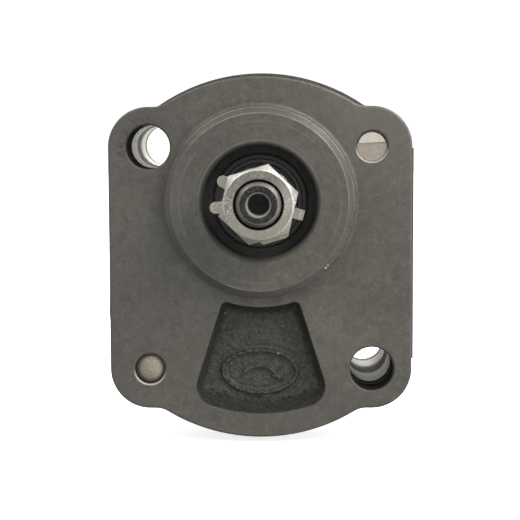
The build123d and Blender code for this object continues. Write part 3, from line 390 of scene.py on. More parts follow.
    # machined walls inside the plate (holes) and the as-cast outside
    wall = m.step(m.Y, 0.15, 0.9)
    hole = m.maxv(m.step(m.dist2(-HP, UP_Z), 9.7, 9.3), m.step(m.dist2(HP, LO_Z), 9.7, 9.3))
    bolt = m.maxv(m.step(m.dist2(HP, UP_Z), 7.2, 6.9), m.step(m.dist2(-HP, LO_Z), 7.2, 6.9))
    cast_n = m.noise(0.9, 5.0, 0.65, w=17.0)
    cast = m.mix(m.step(cast_n, 0.3, 0.7), (0.058, 0.056, 0.051), (0.120, 0.113, 0.102))
    rust = m.step(m.noise(0.07, 4.0, 0.6, w=33.0, dist=0.8), 0.56, 0.68)
    cast = m.mix(m.mul(rust, 0.40), cast, (0.125, 0.072, 0.046))
    base = m.mix(wall, base, cast)
    # painted shade: the cover's own faces inside the cast pocket are painted near black
    in_pocket = m.mul(m.mul(m.step(m.dist2(0.0, FCZ), 64.6, 64.0), m.step(m.absv(m.X), 36.0, 35.0)), m.mul(m.step(m.Z, -36.5, -38.0), m.step(m.Y, 0.25, 0.6)))
    base = m.mix(in_pocket, base, m.mix(m.step(cast_n, 0.35, 0.65), (0.011, 0.011, 0.009), (0.030, 0.029, 0.025)))
    # a rusty line down the left edge
    rl = m.mul(m.step(m.X, -59.3, -60.0), m.mul(m.step(m.Z, 4.0, -8.0), m.mul(m.step(m.noise(0.25, 3.0, 0.6, w=61.0), 0.38, 0.55), m.step(m.Y, 3.5, 0.8))))
    base = m.mix(m.mul(rl, 0.55), base, (0.165, 0.085, 0.060))
    # the bores are painted near black, partly oil and partly painted shade; a light line is painted across the bores on
    # the right at 16.5 mm depth
    black_n = m.noise(0.8, 3.0, 0.6, w=44.0)
    black = m.mix(m.step(black_n, 0.35, 0.65), (0.0055, 0.0052, 0.0048), (0.014, 0.013, 0.012))
    line = m.mul(m.band(m.Y, 16.5, 1.3, 1.0), m.step(m.X, 0.0, 2.0))
    black = m.mix(m.mul(line, 0.9), black, (0.42, 0.40, 0.37))
    base = m.mix(m.mul(m.maxv(hole, bolt), m.step(m.Y, 0.45, 0.85)), base, black)
    # rims of the holes: dirty round the mounting holes, bare and bright under the bolt ends
    rim = m.mul(m.step(m.Y, 0.02, 0.12), m.step(m.Y, 0.95, 0.7))
    base = m.mix(m.mul(m.mul(rim, hole), m.step(m.Y, 0.85, 0.35)), base, (0.105, 0.100, 0.088))
    up_l = m.step(m.sub(m.Z, m.lerp(m.step(m.X, -1.0, 1.0), LO_Z, UP_Z)), 0.5, -3.5)
    base = m.mix(m.mul(m.mul(rim, bolt), up_l), base, (0.42, 0.40, 0.37))
    dirt = m.mul(m.band(m.dist2(-HP, UP_Z), 10.6, 1.6, 1.0), m.step(m.sub(m.X, m.mul(m.Z, 0.8)), -60.0, -70.0))
    base = m.mix(m.mul(m.mul(dirt, m.inv(wall)), m.mul(m.step(m.noise(0.55, 4.0, 0.6, w=81.0, dist=1.2), 0.50, 0.66), 0.75)), base, (0.046, 0.044, 0.039))
    # the recess round the shaft is painted near black, old grease and painted shade; lighter and olive towards the
    # front of its lower wall
    rec = m.mul(m.step(m.R, 24.3, 22.5), m.step(m.Y, -8.2, -8.1, 1.0, 1.0))
    grease_and_shade = m.mix(m.noise(0.5, 3.0, 0.6, w=40.0), (0.030, 0.030, 0.030), (0.062, 0.062, 0.060))
    lowg = m.mul(m.step(m.Z, -8.0, -20.0), m.step(m.Y, 2.0, -6.0))
    grease_and_shade = m.mix(m.mul(lowg, 0.8), grease_and_shade, (0.090, 0.091, 0.072))
    base = m.mix(rec, base, grease_and_shade)
    rough = m.lerp(m.step(patch, 0.3, 0.75), 0.40, 0.54)
    rough = m.lerp(m.mul(green, 0.8), rough, 0.32)
    rough = m.lerp(wall, rough, 0.62)
    rough = m.lerp(m.mul(m.maxv(hole, bolt), wall), rough, 0.95)
    rough = m.lerp(rec, rough, 0.55)
    metal = m.lerp(m.maxv(wall, rec), 0.45, 0.0)
    h_fine = m.add(m.mul(grain, 0.5), m.mul(fine, 0.35))
    h = m.add(h_fine, m.mul(m.mul(turn, on_pilot), 0.9))
    h = m.add(h, m.mul(m.mul(streak, m.inv(on_pilot)), 0.8))
    h_cast = m.add(m.mul(cast_n, 2.4), m.mul(m.noise(2.6, 4.0, 0.7, w=51.0), 1.6))
    h = m.lerp(m.mul(wall, m.inv(hole)), h, m.mul(h_cast, 4.0))
    nrm = m.bump(h, 0.035, 0.75, m.bevel(0.3))
    return m.out(base, rough, metal, nrm, Specular_IOR_Level=0.35)


# ------------------------------------------------------------------ sand-cast pocket skin
def iron_pocket():
    m = Mat("iron_pocket")
    a = m.noise(0.50, 4.0, 0.6, w=2.5)
    b = m.noise(1.5, 4.0, 0.65, w=7.0)
    c = m.noise(4.5, 3.0, 0.6, w=9.0)
    base = m.mix(m.step(a, 0.34, 0.66), (0.058, 0.057, 0.051), (0.094, 0.092, 0.083))
    base = m.mix(m.mul(m.step(b, 0.5, 0.75), 0.45), base, (0.110, 0.106, 0.096))
    base = m.mix(m.mul(m.step(b, 0.45, 0.28), 0.45), base, (0.020, 0.020, 0.018))
    base = m.mix(m.mul(m.step(c, 0.58, 0.75), 0.25), base, (0.16, 0.155, 0.14))
    base = m.mix(m.mul(m.step(m.pointiness, 0.490, 0.440), 0.80), base, (0.012, 0.012, 0.010))
    base = m.mix(m.mul(m.step(m.pointiness, 0.512, 0.575), 0.50), base, (0.170, 0.165, 0.150))
    # painted glints: small bright grains and two larger bright spots
    cell = m.voronoi(0.42)
    painted_glint = m.mul(m.step(cell, 0.17, 0.09), m.step(m.noise(0.6, 1.0, 0.5, w=27.0), 0.62, 0.67))
    painted_glint = m.maxv(painted_glint, m.maxv(m.step(m.dist2(-14.4, -45.2), 0.55, 0.25), m.step(m.dist2(7.0, -61.6), 0.60, 0.28)))
    base = m.mix(m.mul(painted_glint, 0.75), base, (0.42, 0.41, 0.38))
    # painted shade: the drafted walls are painted blacker than the floor; the mouth's edge is rubbed light
    e_side = m.mul(m.sub(m.add(13.9, m.mul(m.sub(-35.0, m.Z), 17.5 / 55)), m.absv(m.X)), 0.953)
    e_low = m.sub(61.1, m.dist2(0.0, FCZ))
    edge_d = m.minv(m.minv(e_side, m.sub(m.R, 42.2)), e_low)
    edge_d = m.add(edge_d, m.mul(m.sub(a, 0.5), 3.2))
    wall = m.step(edge_d, 5.2, 1.6)
    wall_shade_color = m.mix(m.step(b, 0.38, 0.66), (0.010, 0.010, 0.008), (0.040, 0.040, 0.035))
    base = m.mix(m.mul(wall, 0.88), base, wall_shade_color)
    rim = m.step(m.Y, 0.75, 0.12)
    base = m.mix(m.mul(rim, 0.75), base, (0.100, 0.096, 0.085))
    rough = m.lerp(m.step(b, 0.35, 0.7), 0.60, 0.42)
    rough = m.lerp(wall, rough, 0.66)
    h = m.add(m.mul(a, 1.6), m.add(m.mul(b, 1.5), m.mul(c, 0.6)))
    h = m.add(h, m.mul(m.voronoi(1.1, feature="SMOOTH_F1", smooth=0.6), -0.8))
    nrm = m.bump(m.mul(h, m.lerp(wall, 1.0, 0.8)), 0.30, 0.95)
    return m.out(base, m.lerp(wall, rough, 0.80), m.lerp(wall, 0.10, 0.0), nrm, Specular_IOR_Level=0.28)


# ------------------------------------------------------------------ cast aluminium
def alloy(name, tone=1.0, seed=0.0):
    m = Mat(name)
    a = m.noise(0.05, 3.0, 0.55, w=1.0 + seed)
    b = m.noise(0.8, 5.0, 0.65, w=3.0 + seed)
    c = m.noise(3.2, 4.0, 0.65, w=5.0 + seed)
    t = tone
    base = m.mix(m.step(a, 0.35, 0.68), (0.30 * t, 0.297 * t, 0.282 * t), (0.405 * t, 0.400 * t, 0.382 * t))
    base = m.mix(m.mul(m.step(b, 0.50, 0.74), 0.35), base, (0.205 * t, 0.202 * t, 0.188 * t))
    base = m.mix(m.mul(m.step(c, 0.55, 0.75), 0.20), base, (0.50 * t, 0.493 * t, 0.475 * t))
    stain = m.mul(m.step(m.noise(0.045, 4.0, 0.62, w=8.0 + seed, dist=1.1), 0.52, 0.70), 0.50)
    base = m.mix(stain, base, (0.150, 0.138, 0.108))
    grime = m.mul(m.step(m.noise(0.16, 5.0, 0.68, w=13.0 + seed, dist=0.9), 0.54, 0.70), 0.40)
    base = m.mix(grime, base, (0.105, 0.100, 0.086))
    # machined faces: port pad, joint faces, spot faces
    padf = m.step(m.X, 61.8, 62.0)
    facef = m.step(m.absv(m.NY), 0.985, 0.995)
    spot = m.mul(facef, m.band(m.Y, 84.0, 0.15, 0.1))
    mach = m.maxv(m.mul(padf, m.step(m.NX, 0.97, 0.99)), spot)
    lines = m.noise(1.0, 3.0, 0.6, vec=m.vec(0.4, 3.2, 0.05), w=4.0)
    base = m.mix(m.mul(mach, 0.85), base, (0.47 * t, 0.466 * t, 0.452 * t))
    base = m.mix(m.mul(m.mul(mach, m.step(lines, 0.5, 0.7)), 0.3), base, (0.30, 0.296, 0.284))
    # holes for the mounting bolts: drilled walls with light and shade painted in: the upper-left hole's walls are
    # painted bright as if lit, the lower-right hole's darker and darker again towards the back; a brown band at the
    # waist is oil and painted shade, a dark ring at the far end and the first part of the lower-right hole are painted
    # shade, and the joints show as dark lines
    hole = m.maxv(m.step(m.dist2(-HP, UP_Z), 8.95, 8.85), m.step(m.dist2(HP, LO_Z), 8.95, 8.85))
    hn = m.noise(0.6, 3.0, 0.6, vec=m.vec(0.2, 1.3, 0.2), w=6.0)
    hy = m.add(m.Y, m.mul(m.sub(m.noise(0.10, 2.0, 0.5, w=16.0), 0.5), 5.0))
    upper = m.step(m.X, 2.0, -2.0)
    hole_light_and_shade_color = m.mix(m.step(hn, 0.3, 0.7), (0.82, 0.80, 0.74), (0.92, 0.90, 0.84))
    shaded_hole_color = m.mix(m.step(hn, 0.3, 0.7), (0.41, 0.39, 0.345), (0.53, 0.51, 0.45))
    deeper_shade_color = m.mix(m.step(hn, 0.3, 0.7), (0.30, 0.288, 0.245), (0.38, 0.365, 0.315))
    hole_light_and_shade_color = m.mix(upper, m.mix(m.step(hy, 60.0, 70.0), shaded_hole_color, deeper_shade_color), hole_light_and_shade_color)
    # oil and painted shade at the waist
    waist = m.mul(m.step(hy, 41.0, 46.0), m.step(hy, 65.0, 57.0))
    hole_light_and_shade_color = m.mix(m.mul(waist, m.lerp(upper, 0.93, 0.42)), hole_light_and_shade_color, (0.16, 0.148, 0.110))
    # painted shade: a dark ring at the far end
    end = m.step(m.Y, 76.5, 79.5)
    hole_light_and_shade_color = m.mix(m.mul(end, 0.92), hole_light_and_shade_color, (0.070, 0.066, 0.044))
    joint = m.maxv(m.band(m.Y, 31.0, 0.15, 0.25), m.band(m.Y, 72.0, 0.2, 0.3))
    hole_light_and_shade_color = m.mix(m.mul(joint, 0.6), hole_light_and_shade_color, (0.09, 0.085, 0.06))
    # painted shade over the first part of the lower-right hole
    front_band_shade = m.mul(m.step(m.Y, 24.5, 22.2), m.step(m.X, -1.0, 1.0))
    hole_light_and_shade_color = m.mix(m.mul(front_band_shade, 0.8), hole_light_and_shade_color, (0.045, 0.043, 0.036))
    base = m.mix(hole, base, hole_light_and_shade_color)
    seam = m.maxv(m.band(m.Y, 31.0, 0.12, 0.12), m.maxv(m.band(m.Y, 72.0, 0.12, 0.12), m.band(m.Y, 22.0, 0.12, 0.12)))
    base = m.mix(m.mul(m.mul(seam, m.inv(hole)), 0.8), base, (0.06, 0.055, 0.045))
    rough = m.lerp(m.step(b, 0.3, 0.7), 0.50, 0.64)
    rough = m.lerp(mach, rough, 0.30)
    rough = m.lerp(hole, rough, m.lerp(m.maxv(waist, end), 0.44, 0.68))
    metal = m.lerp(hole, m.lerp(mach, 0.55, 0.92), m.lerp(m.maxv(waist, end), 0.55, 0.25))
    h_cast = m.add(m.mul(b, 3.2), m.add(m.mul(c, 2.0), m.mul(m.voronoi(1.4, feature="SMOOTH_F1", smooth=0.5), -1.2)))
    h_mach = m.mul(lines, 0.35)
    h = m.lerp(m.maxv(mach, hole), h_cast, h_mach)
    nrm = m.bump(h, 0.10, 0.8, m.bevel(0.4))
    return m.out(base, rough, metal, nrm, Specular_IOR_Level=0.5)


# ------------------------------------------------------------------ zinc-plated nut and washer
def zinc(name, tint, seed=0.0, face=True):
    m = Mat(name)
    a = m.noise(0.12, 3.0, 0.6, w=1.0 + seed)
    b = m.noise(0.9, 4.0, 0.65, w=2.0 + seed)
    c = m.noise(5.0, 3.0, 0.6, w=3.0 + seed)
    dark, mid, light = [(tint[0] * k, tint[1] * k, tint[2] * k) for k in (0.62, 0.86, 1.05)]
    base = m.mix(m.step(a, 0.35, 0.65), mid, light)
    base = m.mix(m.mul(m.step(b, 0.52, 0.75), 0.45), base, dark)
    # olive cast on the lower part
    low = m.step(m.add(m.Z, m.mul(b, 6.0)), 5.0, -10.0)
    base = m.mix(m.mul(low, 0.55), base, (tint[0] * 0.70, tint[1] * 0.69, tint[2] * 0.53))
    # darker brushed upper face with short tool marks
    upf = m.mul(m.step(m.add(m.Z, m.mul(m.X, -0.55)), -2.0, 7.0), m.step(m.R, 13.3, 12.9))
    brush = m.noise(1.0, 3.0, 0.65, vec=m.vec(1.6, 0.3, 0.5), w=17.0)
    base = m.mix(m.mul(upf, m.lerp(m.step(brush, 0.42, 0.60), 0.40, 0.95)), base, (tint[0] * 0.42, tint[1] * 0.41, tint[2] * 0.39))
    face = m.mul(m.step(m.R, 13.4, 13.1), m.step(m.Y, -26.8, -27.3))
    base = m.mix(m.mul(face, 0.20), base, (tint[0] * 0.40, tint[1] * 0.39, tint[2] * 0.36))
    rc = m.mul(m.step(m.X, 12.6, 13.6), m.step(m.absv(m.sub(m.Z, 3.0)), 7.5, 5.0))
    base = m.mix(m.mul(rc, 0.45), base, (tint[0] * 0.35, tint[1] * 0.34, tint[2] * 0.32))
    # painted shade: a dark ring in the gap where the thread runs out
    thread_gap_shade = m.mul(m.step(m.R, 10.0, 9.55), m.step(m.Y, -24.0, -25.0))
    # painted highlight: a pale line where the face meets the chamfer; short bright scuffs to the left and right
    ring = m.mul(m.band(m.R, 13.2, 0.16, 0.22), m.step(m.Y, -26.6, -27.2))
    base = m.mix(m.mul(ring, m.lerp(m.step(b, 0.35, 0.6), 0.25, 0.85)), base, (0.80, 0.79, 0.76))
    marks = m.noise(1.0, 2.0, 0.6, vec=m.vec(0.9, 0.3, 2.6), w=23.0)
    sides = m.mul(m.step(m.absv(m.Z), 5.5, 2.0), m.step(m.absv(m.X), 8.5, 9.5))
    base = m.mix(m.mul(m.mul(m.step(marks, 0.52, 0.62), sides), 0.75), base, (0.82, 0.80, 0.76))
    # scuffs
    rot = m.combine(m.add(m.mul(m.X, 0.30), m.mul(m.Z, 0.95)), m.Y, m.sub(m.mul(m.Z, 0.30), m.mul(m.X, 0.95)))
    scr = m.noise(1.0, 3.0, 0.6, vec=m.vec(0.35, 0.5, 4.0, src=rot), w=7.0 + seed)
    base = m.mix(m.mul(m.step(scr, 0.57, 0.66), 0.42), base, (0.80, 0.78, 0.74))
    base = m.mix(m.mul(m.step(c, 0.62, 0.75), 0.3), base, dark)
    # painted shade in the thread gap
    base = m.mix(thread_gap_shade, base, (0.022, 0.021, 0.018))
    turn = m.noise(1.5, 3.0, 0.6, vec=m.combine(m.R, 0.0, 0.0), w=4.0)
    rough = m.lerp(m.step(b, 0.35, 0.7), 0.36, 0.50)
    rough = m.lerp(m.mul(m.step(scr, 0.60, 0.68), 0.5), rough, 0.20)
    h = m.add(m.mul(b, 0.7), m.add(m.mul(c, 0.25), m.mul(turn, 0.6)))
    h = m.add(h, m.mul(scr, 0.5))
    nrm = m.bump(h, 0.05, 0.8, m.bevel(0.35))
    return m.out(base, rough, 0.95, nrm, Specular_IOR_Level=0.5)


# ------------------------------------------------------------------ shaft steel
def shaft_steel():
    m = Mat("shaft_steel")
    a = m.noise(0.25, 3.0, 0.6, w=1.0)
    b = m.noise(1.5, 4.0, 0.65, w=2.0)
    turn = m.noise(2.2, 4.0, 0.7, vec=m.combine(m.R, m.mul(m.Y, 0.9), 0.0), w=3.0)
    base = m.mix(m.step(a, 0.35, 0.65), (0.225, 0.221, 0.210), (0.30, 0.294, 0.280))
    base = m.mix(m.mul(m.step(b, 0.5, 0.75), 0.4), base, (0.20, 0.195, 0.18))
    end = m.step(m.Y, -26.9, -27.3)
    ann = m.mul(m.mul(m.step(m.R, 7.45, 7.05), m.step(m.R, 4.4, 4.6)), end)
    spots = m.noise(0.9, 3.0, 0.7, w=12.0)
    ann_c = m.mix(m.step(spots, 0.45, 0.68), (0.041, 0.040, 0.037), (0.100, 0.096, 0.088))
    base = m.mix(ann, base, ann_c)
    hole = m.step(m.R, 4.95, 4.85)
    # painted glints: bright specks in the centre hole
    painted_glint_specks = m.step(m.noise(0.75, 3.0, 0.7, w=71.0), 0.60, 0.68)
    base = m.mix(hole, base, m.mix(painted_glint_specks, (0.34, 0.34, 0.33), (0.85, 0.84, 0.80)))
    # dark grease and painted shade on the shaft inside the recess
    grease_and_shade = m.mul(m.mul(m.step(m.Y, -10.6, -9.0), m.step(m.Y, 16.0, 14.0)), m.step(m.R, 5.2, 5.6))
    base = m.mix(m.mul(grease_and_shade, 0.9), base, (0.018, 0.018, 0.017))
    rough = m.lerp(m.step(b, 0.3, 0.7), 0.24, 0.40)
    rough = m.lerp(ann, rough, 0.38)
    h = m.add(m.mul(turn, 1.0), m.mul(b, 0.4))
    nrm = m.bump(h, 0.03, 0.7, m.bevel(0.22))
    return m.out(base, m.lerp(hole, rough, 0.75), m.lerp(hole, 0.95, 0.0), nrm, Specular_IOR_Level=0.5)


# ------------------------------------------------------------------ other finishes
def steel(name, c_lo, c_hi, r_lo, r_hi, metal=0.95, bump_mm=0.03, scale=1.0, bevel=0.2, spot=None, seed=0.0):
    m = Mat(name)
    a = m.noise(0.22 * scale, 3.0, 0.6, w=1.0 + seed)
    b = m.noise(1.6 * scale, 4.0, 0.65, w=2.0 + seed)
    c = m.noise(6.0 * scale, 3.0, 0.6, w=3.0 + seed)
    base = m.mix(m.step(a, 0.33, 0.67), c_lo, c_hi)
    base = m.mix(m.mul(m.step(b, 0.5, 0.75), 0.35), base, tuple(x * 0.62 for x in c_lo))
    if spot:
        base = m.mix(m.mul(m.step(m.noise(0.5 * scale, 4.0, 0.7, w=15.0 + seed), 0.62, 0.72), 0.55), base, spot)
    wear = m.step(m.pointiness, 0.515, 0.56)
    base = m.mix(m.mul(wear, 0.45), base, tuple(min(0.9, x * 1.7 + 0.12) for x in c_hi))
    rough = m.lerp(m.step(b, 0.3, 0.7), r_lo, r_hi)
    h = m.add(m.mul(b, 0.8), m.mul(c, 0.35))
    nrm = m.bump(h, bump_mm, 0.8, m.bevel(bevel) if bevel else None)
    return m.out(base, rough, metal, nrm, Specular_IOR_Level=0.5)


def bolt_steel():
    m = Mat("bolt_steel")
    a = m.noise(0.35, 4.0, 0.6, w=1.0)
    b = m.noise(1.8, 4.0, 0.65, w=2.0)
    c = m.noise(6.0, 3.0, 0.6, w=3.0)
    black = m.mix(m.step(a, 0.35, 0.65), (0.022, 0.022, 0.023), (0.045, 0.044, 0.043))
    black = m.mix(m.mul(m.step(b, 0.55, 0.75), 0.4), black, (0.09, 0.085, 0.078))
    black = m.mix(m.mul(m.step(m.pointiness, 0.515, 0.56), 0.5), black, (0.22, 0.21, 0.20))
    # the two front ends are bare worn metal: light above, browner below
    bare = m.step(m.Y, 6.0, 4.5)
    up_c = m.mix(m.step(b, 0.35, 0.7), (0.74, 0.69, 0.62), (0.62, 0.575, 0.505))
    lo_c = m.mix(m.step(b, 0.35, 0.7), (0.43, 0.387, 0.33), (0.30, 0.268, 0.222))
    stepz = m.step(m.add(m.Z, m.mul(m.sub(m.X, 44.45), -0.06)), 23.0, 23.25)
    up_bolt = m.mix(stepz, m.mix(0.85, up_c, lo_c), up_c)
    end_c = m.mix(m.step(m.X, -5.0, 5.0), lo_c, up_bolt)
    pit = m.step(m.noise(0.8, 4.0, 0.7, w=22.0), 0.60, 0.70)
    end_c = m.mix(m.mul(pit, 0.55), end_c, (0.12, 0.105, 0.085))
    base = m.mix(bare, black, end_c)
    rough = m.lerp(m.step(b, 0.3, 0.7), 0.34, 0.50)
    h = m.add(m.mul(b, 0.9), m.add(m.mul(c, 0.4), m.mul(m.mul(bare, a), 5.0)))
    nrm = m.bump(h, 0.06, 0.8, m.bevel(0.25))
    return m.out(base, rough, m.lerp(bare, 0.85, 0.75), nrm, Specular_IOR_Level=0.5)


def rubber(name, lo=0.022, hi=0.036, rough_lo=0.42, rough_hi=0.62):
    m = Mat(name)
    a = m.noise(0.3, 3.0, 0.6, w=1.0)
    b = m.noise(2.5, 4.0, 0.65, w=2.0)
    base = m.mix(m.step(a, 0.3, 0.7), (lo, lo, lo), (hi, hi, hi * 0.98))
    near = m.step(m.R, 18.6, 16.6)
    base = m.mix(near, base, (lo * 4.6, lo * 4.6, lo * 4.6))
    dust = m.step(m.noise(0.8, 4.0, 0.7, w=6.0), 0.60, 0.74)
    base = m.mix(m.mul(dust, 0.35), base, (0.085, 0.083, 0.076))
    rough = m.lerp(m.step(b, 0.3, 0.7), rough_lo, rough_hi)
    ring = m.noise(3.0, 2.0, 0.5, vec=m.combine(m.R, 0.0, 0.0), w=2.0)
    nrm = m.bump(m.add(m.mul(b, 0.5), m.mul(ring, 0.6)), 0.03, 0.8, m.bevel(0.2))
    return m.out(base, rough, 0.0, nrm, Specular_IOR_Level=0.5)


MATS = {
    "iron_cover": iron_cover(),
    "iron_pocket": iron_pocket(),
    "alloy_plate": alloy("alloy_plate", 1.0, 0.0),
    "alloy_body": alloy("alloy_body", 0.98, 11.0),
    "alloy_rear": alloy("alloy_rear", 0.96, 23.0),
    "zinc_nut": zinc("zinc_nut", (0.485, 0.466, 0.428)),
    "zinc_washer": zinc("zinc_washer", (0.465, 0.44, 0.40), 9.0),
    "shaft_steel": shaft_steel(),
    "bolt_steel": bolt_steel(),
    "black_steel": steel("black_steel", (0.024, 0.024, 0.025), (0.046, 0.045, 0.045), 0.32, 0.48, 0.8, 0.05, 1.0, 0.25),
    "plated_steel": steel("plated_steel", (0.52, 0.49, 0.40), (0.62, 0.585, 0.49), 0.26, 0.40, 0.95, 0.03, 1.0, 0.2, (0.36, 0.30, 0.20), 3.0),
    "ground_steel": steel("ground_steel", (0.50, 0.495, 0.485), (0.60, 0.595, 0.585), 0.14, 0.26, 1.0, 0.012, 1.0, 0.12, None, 5.0),
    "cage_brass": steel("cage_brass", (0.50, 0.36, 0.15), (0.62, 0.46, 0.20), 0.24, 0.38, 1.0, 0.02, 1.0, 0.15, None, 7.0),
    "bush_bronze": steel("bush_bronze", (0.42, 0.27, 0.14), (0.55, 0.37, 0.20), 0.28, 0.42, 1.0, 0.02, 1.0, 0.15, None, 8.0),
    "plate_bronze": steel("plate_bronze", (0.46, 0.34, 0.20), (0.56, 0.43, 0.27), 0.22, 0.36, 1.0, 0.02, 1.0, 0.15, None, 9.0),
    "seal_rubber": rubber("seal_rubber"),
}
FINISH = {
    "front_cover": "iron_cover", "bearing_plate": "alloy_plate", "pump_body": "alloy_body", "rear_cover": "alloy_rear",
    "shaft_nut": "zinc_nut", "lock_washer": "zinc_washer", "drive_shaft": "shaft_steel", "long_bolts": "bolt_steel",
}
slots = {s["node"]: s["material_slot"] for s in frame["record"]["subparts"]}
BY_SLOT = {
    "iron": "iron_cover", "alloy": "alloy_body", "plated_steel": "plated_steel", "black_steel": "black_steel",
    "ground_steel": "ground_steel", "seal_rubber": "seal_rubber", "cage_brass": "cage_brass", "shaft_steel": "shaft_steel",
    "nut_steel": "zinc_nut", "bush_bronze": "bush_bronze", "plate_bronze": "plate_bronze",
}
for name, o in N.items():
    o.data.materials.clear()
    o.data.materials.append(MATS[FINISH.get(name) or BY_SLOT[slots[name]]])


def add_mesh(name, verts, faces, mat, body, smooth=True):
    me = bpy.data.meshes.new(name)
    me.from_pydata(verts, [], faces)
    me.validate()
    bm = bmesh.new()
    bm.from_mesh(me)
    bmesh.ops.recalc_face_normals(bm, faces=bm.faces)
    bm.to_mesh(me)
    bm.free()
    for p in me.polygons:
        p.use_smooth = smooth
    me.materials.append(MATS[mat])
    o = bpy.data.objects.new(name, me)
    scene.collection.objects.link(o)
    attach(o, body)
    return o


# ------------------------------------------------------------------ rough skin in the cast pocket
def rounded(points, radii, seg=10):
    """Closed outline through points with rounded corners, as (x, z) in mm."""
    out = []
    n = len(points)
    for i, p in enumerate(points):
        a, b = Vector(points[i - 1]), Vector(points[(i + 1) % n])
        p = Vector(p)
        da, db = (a - p).normalized(), (b - p).normalized()
        half = math.acos(max(-1, min(1, da.dot(db)))) / 2
        t = radii[i] / math.tan(half)
        c = p + (da + db).normalized() * (radii[i] / math.sin(half))
        s, e = p + da * t - c, p + db * t - c
        a0, a1 = math.atan2(s.y, s.x), math.atan2(e.y, e.x)
        d = (a1 - a0 + math.pi) % (2 * math.pi) - math.pi
        for k in range(seg + 1):
            q = a0 + d * k / seg
            out.append((c.x + radii[i] * math.cos(q), c.y + radii[i] * math.sin(q)))
    return out


def pocket_outline():
    """The pocket's mouth: two slanted sides, an arc round the pilot above and an arc of the flange below."""
    def side(z): return 13.9 + (-35 - z) * 17.5 / 55
    r_top, r_bot = 42.2, 62.9
    pts = []
    # top arc, left to right
    a = math.radians(-90)
    z = -35.0
    for _ in range(60):
        z = -math.sqrt(max(r_top ** 2 - side(z) ** 2, 0))
    x_top, z_top = side(z), z
    a_top = math.atan2(z_top, x_top)
    n = 24
    for i in range(n + 1):
        t = math.pi - a_top - math.pi * 2
        ang = (-math.pi - a_top) + (2 * a_top + math.pi) * i / n
        pts.append((r_top * math.cos(ang), r_top * math.sin(ang)))
    zb = -85.0
    for _ in range(60):
        zb = FCZ - math.sqrt(max(r_bot ** 2 - side(zb) ** 2, 0))
    x_b, z_b = side(zb), zb
    a_b = math.atan2(z_b - FCZ, x_b)
    m = 24
    for i in range(m + 1):
        ang = a_b + (-math.pi - 2 * a_b) * i / m
        pts.append((r_bot * math.cos(ang), FCZ + r_bot * math.sin(ang)))
    return pts


def resample(pts, n):
    d = [0.0]
    q = pts + [pts[0]]
    for i in range(len(pts)):
        d.append(d[-1] + (Vector(q[i + 1]) - Vector(q[i])).length)
    out = []
    j = 0
    for k in range(n):
        s = d[-1] * k / n
        while d[j + 1] < s:
            j += 1
        f = (s - d[j]) / max(d[j + 1] - d[j], 1e-9)
        out.append(tuple(Vector(q[j]).lerp(Vector(q[j + 1]), f)))
    return out


def soften(pts, corners, n=600):
    """Rounds the four corners by smoothing the outline near them."""
    pts = resample(pts, n)
    step = sum((Vector(pts[i]) - Vector(pts[i - 1])).length for i in range(n)) / n
    for c, r in corners:
        k = min(range(n), key=lambda i: (Vector(pts[i]) - Vector(c)).length)
        # tangent arc of radius r: replace the points within reach by a quadratic blend
        reach = int(r / step)
        a, b = Vector(pts[(k - reach) % n]), Vector(pts[(k + reach) % n])
        p = Vector(pts[k])
        for j in range(-reach, reach + 1):
            t = (j + reach) / (2 * reach)
            q = a * (1 - t) ** 2 + p * 2 * t * (1 - t) + b * t ** 2
            pts[(k + j) % n] = tuple(q)
    return pts


def tri(px, pz, pts):
    """Distance inside a clockwise triangle, negative outside."""
    best = 1e9
    for i in range(3):
        ax, az = pts[i]
        bx, bz = pts[(i + 1) % 3]
        vx, vz = bx - ax, bz - az
        best = min(best, ((px - ax) * vz - (pz - az) * vx) / math.hypot(vx, vz))
    return best


def relief(x, z):
    """A plain raised oval frame with a rotation arrow in it, 0 to 1."""
    u, v = (x + 0.4) / 14.9, (z + 68.9) / 8.6
    q = math.hypot(u, v)
    g = math.hypot(u / 14.9, v / 8.6) / max(q, 1e-6)
    d_ring = abs(q - 1.0) / max(g, 1e-6)
    h = max(0.0, min(1.0, (1.30 - d_ring) / 0.70)) * 0.95
    dx, dz = x + 0.4, z + 75.0
    r, a = math.hypot(dx, dz), math.degrees(math.atan2(dz, dx))
    if 45.0 < a < 141.0:
        h = max(h, max(0.0, min(1.0, (1.30 - abs(r - 8.6)) / 0.6)))
    c, sn = math.cos(math.radians(45.0)), math.sin(math.radians(45.0))
    tip = (8.6 * c + 4.8 * sn, 8.6 * sn - 4.8 * c)
    e = tri(dx, dz, [(11.5 * c, 11.5 * sn), tip, (5.7 * c, 5.7 * sn)])
    return max(h, max(0.0, min(1.0, (e + 0.3) / 0.6)))


def foot(x, z):
    """Shallow groove round the oval frame, 0 to 1."""
    u, v = (x + 0.4) / 14.9, (z + 68.9) / 8.6
    q = math.hypot(u, v)
    g = math.hypot(u / 14.9, v / 8.6) / max(q, 1e-6)
    return math.exp(-((abs(abs(q - 1.0) / max(g, 1e-6) - 1.75)) / 0.5) ** 2)


